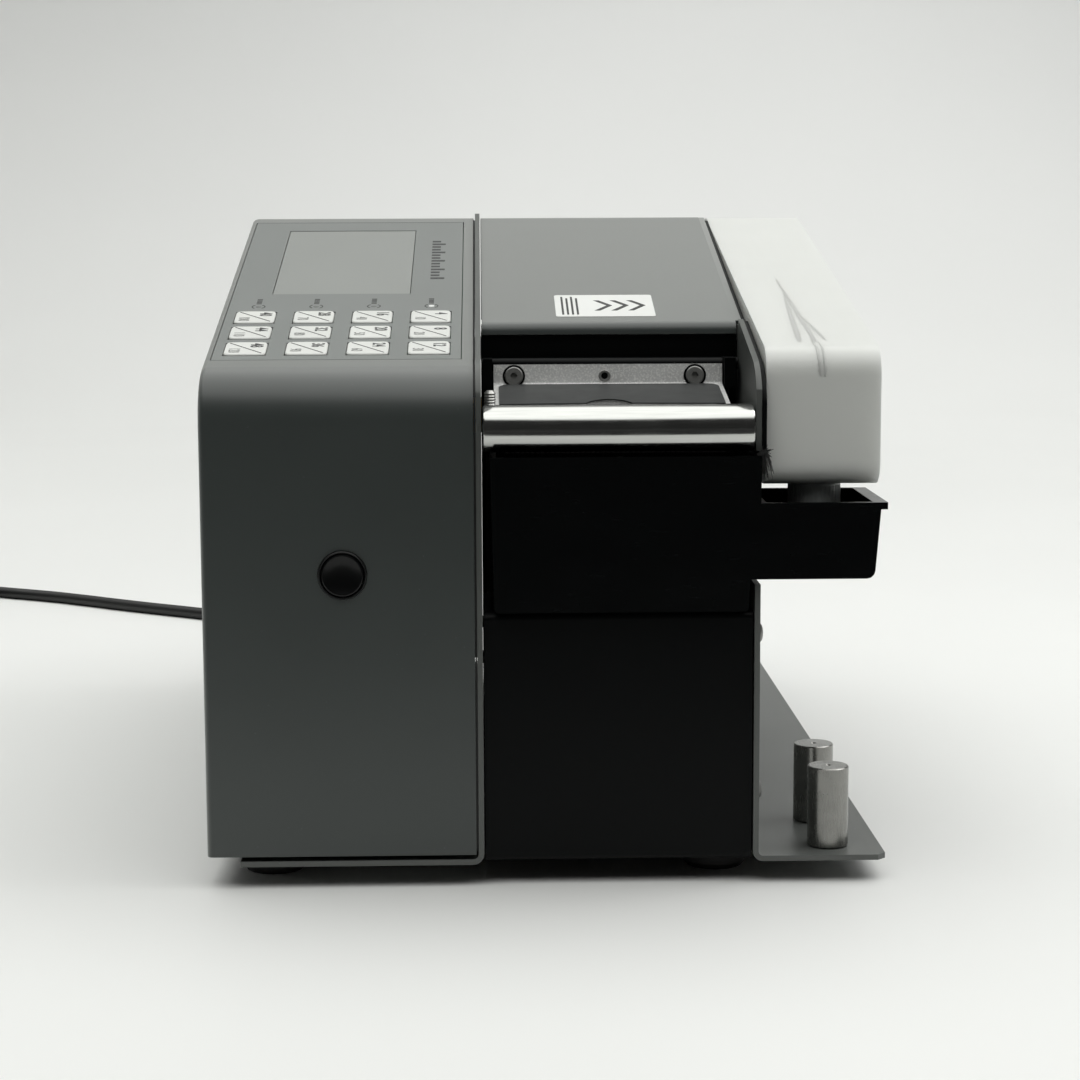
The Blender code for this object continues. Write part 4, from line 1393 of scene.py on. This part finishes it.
    @staticmethod
    def add_ridge(bm: bmesh.types.BMesh, points: Sequence[Tuple[Vector, Vector, float, float]],
                  place: Matrix) -> None:
        """Adds one low ridge that fades at both ends.

        Args:
            bm: the mesh to add to.
            points: spot, outward normal, height and half width along the ridge.
            place: matrix from the side view to the frame.
        """
        section = ((-1.0, 0.0), (-0.5, 0.7), (0.0, 1.0), (0.5, 0.7), (1.0, 0.0), (0.0, -0.5))
        rings = []
        for spot, normal, lift, half in points:
            ring = []
            for sideways, share in section:
                corner = spot + normal * (share * lift - 0.04) + Vector((0, 0, sideways * half))
                ring.append(bm.verts.new(place @ (corner * MM)))
            rings.append(ring)
        for first, second in zip(rings, rings[1:]):
            for index in range(len(section)):
                after = (index + 1) % len(section)
                bm.faces.new((first[index], first[after], second[after], second[index]))
        bm.faces.new(rings[0])
        bm.faces.new(rings[-1])

    def add_cap(self) -> None:
        """Replaces the cap by a ribbed one with its outlet."""
        low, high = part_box("bottle_cap")
        centre = box_centre("bottle_cap")
        radius = (high[0] - low[0]) / 2 / MM
        foot, top = low[2] / MM, high[2] / MM
        cap = bmesh.new()
        profile = [(8.7, top), (radius - 0.35, top), (radius - 0.35, foot + 1.0), (radius - 1.2, foot),
                   (3.2, foot), (3.2, foot + 2.0), (8.7, foot + 2.0)]
        place = Matrix.Translation((centre.x, centre.y, 0))
        add_turned(cap, profile, place, 72)
        outline = [Vector((radius - 0.6, -0.28)), Vector((radius - 0.05, -0.18)),
                   Vector((radius - 0.05, 0.18)), Vector((radius - 0.6, 0.28))]
        for step in range(self.cap_ribs):
            rib = place @ Matrix.Rotation(2 * math.pi * step / self.cap_ribs, 4, "Z")
            add_prism(cap, outline, foot + 1.6, top - 0.6, rib)
        piece("ribbed_cap", cap, "bottle", SMOKY, ["bottle_cap"])


@dataclass
class MainsCord:
    """The power cord from its gland to the plug, with the spare length in a tied coil."""

    radius: float = 3.5
    route: Tuple[Point, ...] = (
        (-78, 430, 96), (-78.5, 446, 95), (-80, 462, 91), (-83, 477, 83), (-87, 490, 71), (-92, 502, 56),
        (-98, 514, 40), (-105, 527, 24), (-113, 541, 11.5), (-124, 557, 5), (-139, 575, 3.7),
        (-158, 592, 3.6), (-180, 608, 3.6), (-204, 624, 3.6), (-228, 641, 3.6), (-252, 659, 3.6),
        (-276, 675.7, 3.6), (-301, 689.9, 3.6), (-317, 699, 3.6),
    )
    lead: Tuple[Point, ...] = (
        (-419.4, 664, 10.4), (-419.5, 649, 9.0), (-419.5, 634, 7.2), (-419.5, 615, 5.6),
    )
    coil_centre: Tuple[float, float] = (-372.0, 676.0)
    turn_radii: Tuple[float, ...] = (47.2, 40.1, 33.0)
    steps_in: Tuple[Tuple[float, float], ...] = ((320, 360), (680, 720))
    steps_out: Tuple[Tuple[float, float], ...] = ((1630, 1680), (1270, 1320))
    climb: Tuple[float, float] = (970, 1030)
    layers: Tuple[float, float] = (3.7, 11.0)
    enter_degrees: float = 60.6
    end_degrees: float = 1980.0
    coil_step: float = 15.0
    declared_length: float = 1.8
    gland_ribs: int = 6
    grip_ribs: int = 4
    blade_half_gap: float = 6.65
    blade_half_width: float = 0.75
    tie_degrees: float = 20.0
    tie_height: float = 7.4
    tie_half_width: float = 3.0

    def build(self) -> None:
        gland = self.add_gland()
        points = self.centreline()
        cord = self.add_tube(points)
        plug = self.add_plug()
        tie = self.add_tie()
        length = sum((b - a).length for a, b in zip(points, points[1:]))
        LOG.info("cord centreline %.3f m", length)

    def coil_point(self, degrees: float, radius: float, height: float) -> Vector:
        """A point of the coil.

        Args:
            degrees: angle round its centre.
            radius: distance from its centre.
            height: height over the table.

        Returns:
            The point in metres.
        """
        angle = math.radians(degrees)
        x, y = self.coil_centre
        return DATUM.at(x + radius * math.cos(angle), y + radius * math.sin(angle), height)

    @staticmethod
    def eased(degrees: float, stretch: Tuple[float, float]) -> float:
        """How much of a change is done, rising softly from 0 to 1.

        Args:
            degrees: angle along the cord.
            stretch: angles where the change starts and ends.

        Returns:
            The share.
        """
        start, end = stretch
        share = min(1.0, max(0.0, (degrees - start) / (end - start)))
        return share * share * (3 - 2 * share)

    def coil_points(self) -> List[Vector]:
        """The turns of the coil: inward along the table, then up and outward on top.

        Returns:
            Centreline points, 24 to a turn.
        """
        low, high = self.layers
        points = []
        degrees = self.enter_degrees
        while degrees <= self.end_degrees:
            radius = self.turn_radii[0]
            turns = zip(self.turn_radii, self.turn_radii[1:], self.steps_in, self.steps_out)
            for outer, inner, step_in, step_out in turns:
                radius += (outer - inner) * (self.eased(degrees, step_out) - self.eased(degrees, step_in))
            height = low + (high - low) * self.eased(degrees, self.climb)
            points.append(self.coil_point(degrees, radius, height))
            degrees += self.coil_step
        return points

    def centreline(self) -> List[Vector]:
        """The cord's whole centreline: free run, coil and lead to the plug.

        Returns:
            Its points in metres.
        """
        run = [DATUM.at(*point) for point in self.route]
        lead = [DATUM.at(*point) for point in self.lead]
        return self.smooth(run, 3)[:-1] + self.smooth([run[-1], *self.coil_points(), *lead], 2)

    @staticmethod
    def smooth(points: Sequence[Vector], per_span: int) -> List[Vector]:
        """Points of a Catmull-Rom curve.

        Args:
            points: the points that it runs through.
            per_span: points from each given one to the next.

        Returns:
            The curve's points.
        """
        padded = [points[0], *points, points[-1]]
        route = []
        for a, b, c, d in zip(padded, padded[1:], padded[2:], padded[3:]):
            for step in range(per_span):
                t = step / per_span
                route.append(0.5 * (2 * b + (c - a) * t + (2 * a - 5 * b + 4 * c - d) * t * t
                                    + (3 * b - a - 3 * c + d) * t ** 3))
        return route + [points[-1]]

    def add_tube(self, points: Sequence[Vector]) -> bpy.types.Object:
        """Draws the cord as a round curve.

        Args:
            points: its centreline in metres.

        Returns:
            The cord.
        """
        curve = bpy.data.curves.new("mains_cord", "CURVE")
        curve.dimensions = "3D"
        curve.bevel_depth = self.radius * MM
        curve.bevel_resolution = 4
        curve.use_fill_caps = True
        spline = curve.splines.new("POLY")
        spline.points.add(len(points) - 1)
        for target, point in zip(spline.points, points):
            target.co = (*point, 1.0)
        spline.use_smooth = True
        curve.materials.append(material_of(SHEATH))
        cord = bpy.data.objects.new("mains_cord", curve)
        bpy.context.scene.collection.objects.link(cord)
        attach(cord, "frame")
        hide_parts("power_cord", "cord_coil")
        return cord

    def add_gland(self) -> bpy.types.Object:
        """Replaces the gland by a tapered strain relief with ribs.

        Returns:
            The strain relief.
        """
        centre = box_centre("cord_gland")
        place = aim(Vector((centre.x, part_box("control_housing")[1][1], centre.z)), Axis.Y)
        profile = [(0, 29.6), (4.3, 29.6), (4.7, 28.8)]
        for rib in range(self.gland_ribs):
            near = 27.0 - 2.6 * rib
            radius = 4.9 + 0.18 * rib
            profile += [(radius, near + 0.4), (radius, near - 1.0), (radius - 0.7, near - 1.2),
                        (radius - 0.7, near - 2.0)]
        profile += [(6.0, 11.2), (8.2, 10.6), (8.5, 10.0), (8.5, 0.7), (8.2, 0.3), (6.0, 0.3), (6.0, -6.9),
                    (0, -6.9)]
        gland = bmesh.new()
        add_turned(gland, profile, place, 40)
        return piece("strain_relief", gland, "frame", TANK_BLACK, ["cord_gland"])

    def add_plug(self) -> bpy.types.Object:
        """Replaces the plug by a moulded one with a grip, sleeve and two blades.

        Returns:
            The plug.
        """
        low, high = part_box("cord_plug")
        middle, front = (low[0] + high[0]) / 2, low[1]
        place = Matrix(((1, 0, 0, middle), (0, 0, 1, front), (0, 1, 0, 0), (0, 0, 0, 1)))
        body = bmesh.new()
        grip = arc_corners([(-14, 0.4, 5), (14, 0.4, 5), (14, 21, 7), (-14, 21, 7)], 6)
        add_prism(body, grip, 18.2, 56, place)
        bevel_all(body, 2.2, 3, 60.0)
        bar = arc_corners([(-9, 20.0, 0), (9, 20.0, 0), (9, 21.0, 0.4), (-9, 21.0, 0.4)], 2)
        for rib in range(self.grip_ribs):
            add_prism(body, bar, 26 + 5 * rib, 28.4 + 5 * rib, place)
        sleeve = Matrix.Translation((middle, front, 6.0 * MM)) @ Matrix.Rotation(-QUARTER_TURN, 4, "X")
        profile = [(0, 80.0), (4.2, 80.0), (4.6, 72.0), (5.6, 60.0), (6.0, 54.5), (0, 54.5)]
        add_turned(body, profile, sleeve, 28)
        plug = piece("mains_plug", body, "frame", SHEATH, ["cord_plug"])
        for name, x in (("left", -self.blade_half_gap), ("right", self.blade_half_gap)):
            blade = bmesh.new()
            outline = box_outline(x - self.blade_half_width, 7, x + self.blade_half_width, 13.3)
            add_prism(blade, outline, 0.2, 18.4, place)
            bevel_all(blade, 0.3, 2)
            pin = piece(f"plug_blade_{name}", blade, "frame", BRASS)
            pin.parent = plug
        return plug

    def add_tie(self) -> bpy.types.Object:
        """Adds the strap that holds the coil, round all of its turns.

        Returns:
            The strap.
        """
        centre = self.coil_point(self.tie_degrees, self.turn_radii[1], self.tie_height)
        angle = math.radians(self.tie_degrees)
        outward = Vector((math.cos(angle), math.sin(angle), 0))
        place = Matrix((
            (outward.x, 0, -outward.y, centre.x), (outward.y, 0, outward.x, centre.y),
            (0, 1, 0, centre.z), (0, 0, 0, 1)))
        outer = round_box(-11.6, -7.1, 11.6, 7.7, 2.8, 6)
        inner = round_box(-10.9, -6.9, 10.9, 7.2, 2.6, 6)
        tie = bmesh.new()
        add_sleeve(tie, outer, inner, -self.tie_half_width, self.tie_half_width, place)
        return piece("cord_tie", tie, "frame", FOOT_RUBBER)


@dataclass
class Studio:
    """Pale sweep, soft lights and the camera."""

    lens: float = 78.17
    camera_at: Point = (-0.33, -826.0, 234.4)
    pitch: float = math.radians(7.448)
    yaw: float = math.radians(1.45)
    roll: float = math.radians(-0.246)
    sensor: float = 36.0
    ceiling: float = 2.0
    ceiling_edge: Tuple[float, float] = (0.66, 0.8)
    front_wall: float = 0.03
    rear_wall: float = 0.45
    wall_span: Tuple[float, float] = (-0.4, 0.6)
    room_colour: Colour = (1.0, 1.008, 0.98)
    softbox_m: float = 1.2
    sweep_half_width_m: float = 4.0
    sweep_floor_m: Tuple[float, ...] = (-3.5, -1.0, 0.0, 1.0, 1.9)
    sweep_bend_m: float = 0.9
    sweep_top_m: float = 3.2
    sweep_steps: int = 16
    card_half_width_m: float = 2.6
    card_depth_m: Tuple[float, float] = (-3.4, -0.47)
    card_height_m: float = 0.004

    def build(self) -> None:
        """Builds the whole set."""
        self.add_camera()
        self.add_sweep()
        self.add_world()
        self.add_flag()
        self.add_softbox("right_softbox", (1.5, 0.05, 1.5), (0.0, 0.0, 0.0), 9.0)
        self.add_softbox("rear_softbox", (0.6, 1.2, 1.9), (0.3, 2.85, 0.55), 3.6, 90.0)
        bpy.context.scene.view_settings.view_transform = "Standard"

    def add_camera(self) -> None:
        """Places the camera from its pitch, yaw and roll."""
        level = math.cos(self.pitch)
        forward = Vector((math.sin(self.yaw) * level, math.cos(self.yaw) * level, -math.sin(self.pitch)))
        right = Vector((math.cos(self.yaw), -math.sin(self.yaw), 0.0))
        up = right.cross(forward)
        right, up = (right * math.cos(self.roll) + up * math.sin(self.roll),
                     up * math.cos(self.roll) - right * math.sin(self.roll))
        data = bpy.data.cameras.new("camera")
        data.lens = self.lens
        data.sensor_width = self.sensor
        data.clip_start = 0.01
        data.dof.use_dof = False
        camera = bpy.data.objects.new("camera", data)
        turn = Matrix((right, up, -forward)).transposed().to_4x4()
        camera.matrix_world = Matrix.Translation(DATUM.at(*self.camera_at)) @ turn
        bpy.context.scene.collection.objects.link(camera)
        bpy.context.scene.camera = camera

    def add_sweep(self) -> None:
        """Adds the pale floor that curves up behind the object."""
        paint = Painter("pale_sweep")
        cloud = paint.noise(400.0, 2.0)
        colour = paint.mix(cloud, (0.78, 0.785, 0.775), (0.82, 0.825, 0.815))
        surface = paint.finish(colour, cloud * 0.1 + 0.55)
        bm = bmesh.new()
        bend_start, bend = self.sweep_floor_m[-1], self.sweep_bend_m
        profile = [(depth, 0.0) for depth in self.sweep_floor_m]
        for step in range(1, self.sweep_steps + 1):
            angle = QUARTER_TURN * step / self.sweep_steps
            profile.append((bend_start + bend * math.sin(angle), bend * (1 - math.cos(angle))))
        profile.append((bend_start + bend, self.sweep_top_m))
        half = self.sweep_half_width_m
        rows = [[bm.verts.new((x, y, z)) for x in (-half, half)] for y, z in profile]
        for first, second in zip(rows, rows[1:]):
            bm.faces.new((first[0], first[1], second[1], second[0]))
        mesh = bpy.data.meshes.new("sweep")
        bm.to_mesh(mesh)
        bm.free()
        mesh.materials.append(surface)
        sweep = bpy.data.objects.new("sweep", mesh)
        bpy.context.scene.collection.objects.link(sweep)
        soften(sweep, 40.0)

    def add_flag(self) -> None:
        """Adds a dark card on the table in front that dims what front faces mirror.

        The camera doesn't see it, and it casts no shadow.
        """
        paint = Painter("dark_card")
        weave = paint.noise(3.0, 2.0)
        colour = paint.mix(weave, (0.004, 0.004, 0.004), (0.009, 0.009, 0.009))
        surface = paint.finish(colour, weave * 0.1 + 0.8)
        mesh = bpy.data.meshes.new("front_flag")
        half, (front, rear) = self.card_half_width_m, self.card_depth_m
        corners = [(*corner, self.card_height_m) for corner in box_outline(-half, front, half, rear)]
        mesh.from_pydata(corners, [], [(0, 1, 2, 3)])
        mesh.materials.append(surface)
        flag = bpy.data.objects.new("front_flag", mesh)
        flag.visible_camera = False
        flag.visible_shadow = False
        bpy.context.scene.collection.objects.link(flag)

    def add_world(self) -> None:
        """Lights the room from a bright ceiling, with dim walls, darkest on the viewer's side."""
        world = bpy.data.worlds.new("room")
        world.use_nodes = True
        tree = world.node_tree
        nodes, links = tree.nodes, tree.links
        split = nodes.new("ShaderNodeSeparateXYZ")
        links.new(nodes.new("ShaderNodeTexCoord").outputs["Generated"], split.inputs[0])
        walls = nodes.new("ShaderNodeMapRange")
        walls.inputs["From Min"].default_value = self.wall_span[0]
        walls.inputs["From Max"].default_value = self.wall_span[1]
        walls.inputs["To Min"].default_value = self.front_wall
        walls.inputs["To Max"].default_value = self.rear_wall
        links.new(split.outputs["Y"], walls.inputs["Value"])
        ceiling = nodes.new("ShaderNodeMapRange")
        ceiling.interpolation_type = "SMOOTHSTEP"
        ceiling.inputs["From Min"].default_value = self.ceiling_edge[0]
        ceiling.inputs["From Max"].default_value = self.ceiling_edge[1]
        links.new(split.outputs["Z"], ceiling.inputs["Value"])
        level = nodes.new("ShaderNodeMix")
        level.inputs[3].default_value = self.ceiling
        links.new(ceiling.outputs[0], level.inputs[0])
        links.new(walls.outputs[0], level.inputs[2])
        links.new(level.outputs[0], nodes["Background"].inputs["Strength"])
        nodes["Background"].inputs["Color"].default_value = (*self.room_colour, 1.0)
        bpy.context.scene.world = world

    def add_softbox(self, name: str, at_m: Point, aim_m: Point, power: float, spread: float = 180.0) -> None:
        """Adds one square softbox.

        Args:
            name: the light's name.
            at_m: its place.
            aim_m: the point that it faces.
            power: its power in watts.
            spread: angle of its beam in degrees.
        """
        data = bpy.data.lights.new(name, "AREA")
        data.size = self.softbox_m
        data.energy = power
        data.spread = math.radians(spread)
        light = bpy.data.objects.new(name, data)
        light.location = at_m
        light.rotation_euler = (Vector(aim_m) - Vector(at_m)).to_track_quat("-Z", "Y").to_euler()
        bpy.context.scene.collection.objects.link(light)


def main() -> None:
    """Builds the set and every sub-assembly, and notes the sizes."""
    logging.basicConfig(level=logging.INFO, format="%(name)s: %(message)s")
    for assembly in (Studio(), MainsCord(), ControlHousing(), Chassis(), Cover(), FeedAndCut(), WaterSide()):
        assembly.build()
        LOG.info("finished %s", type(assembly).__name__)


if __name__ == "__main__":
    main()
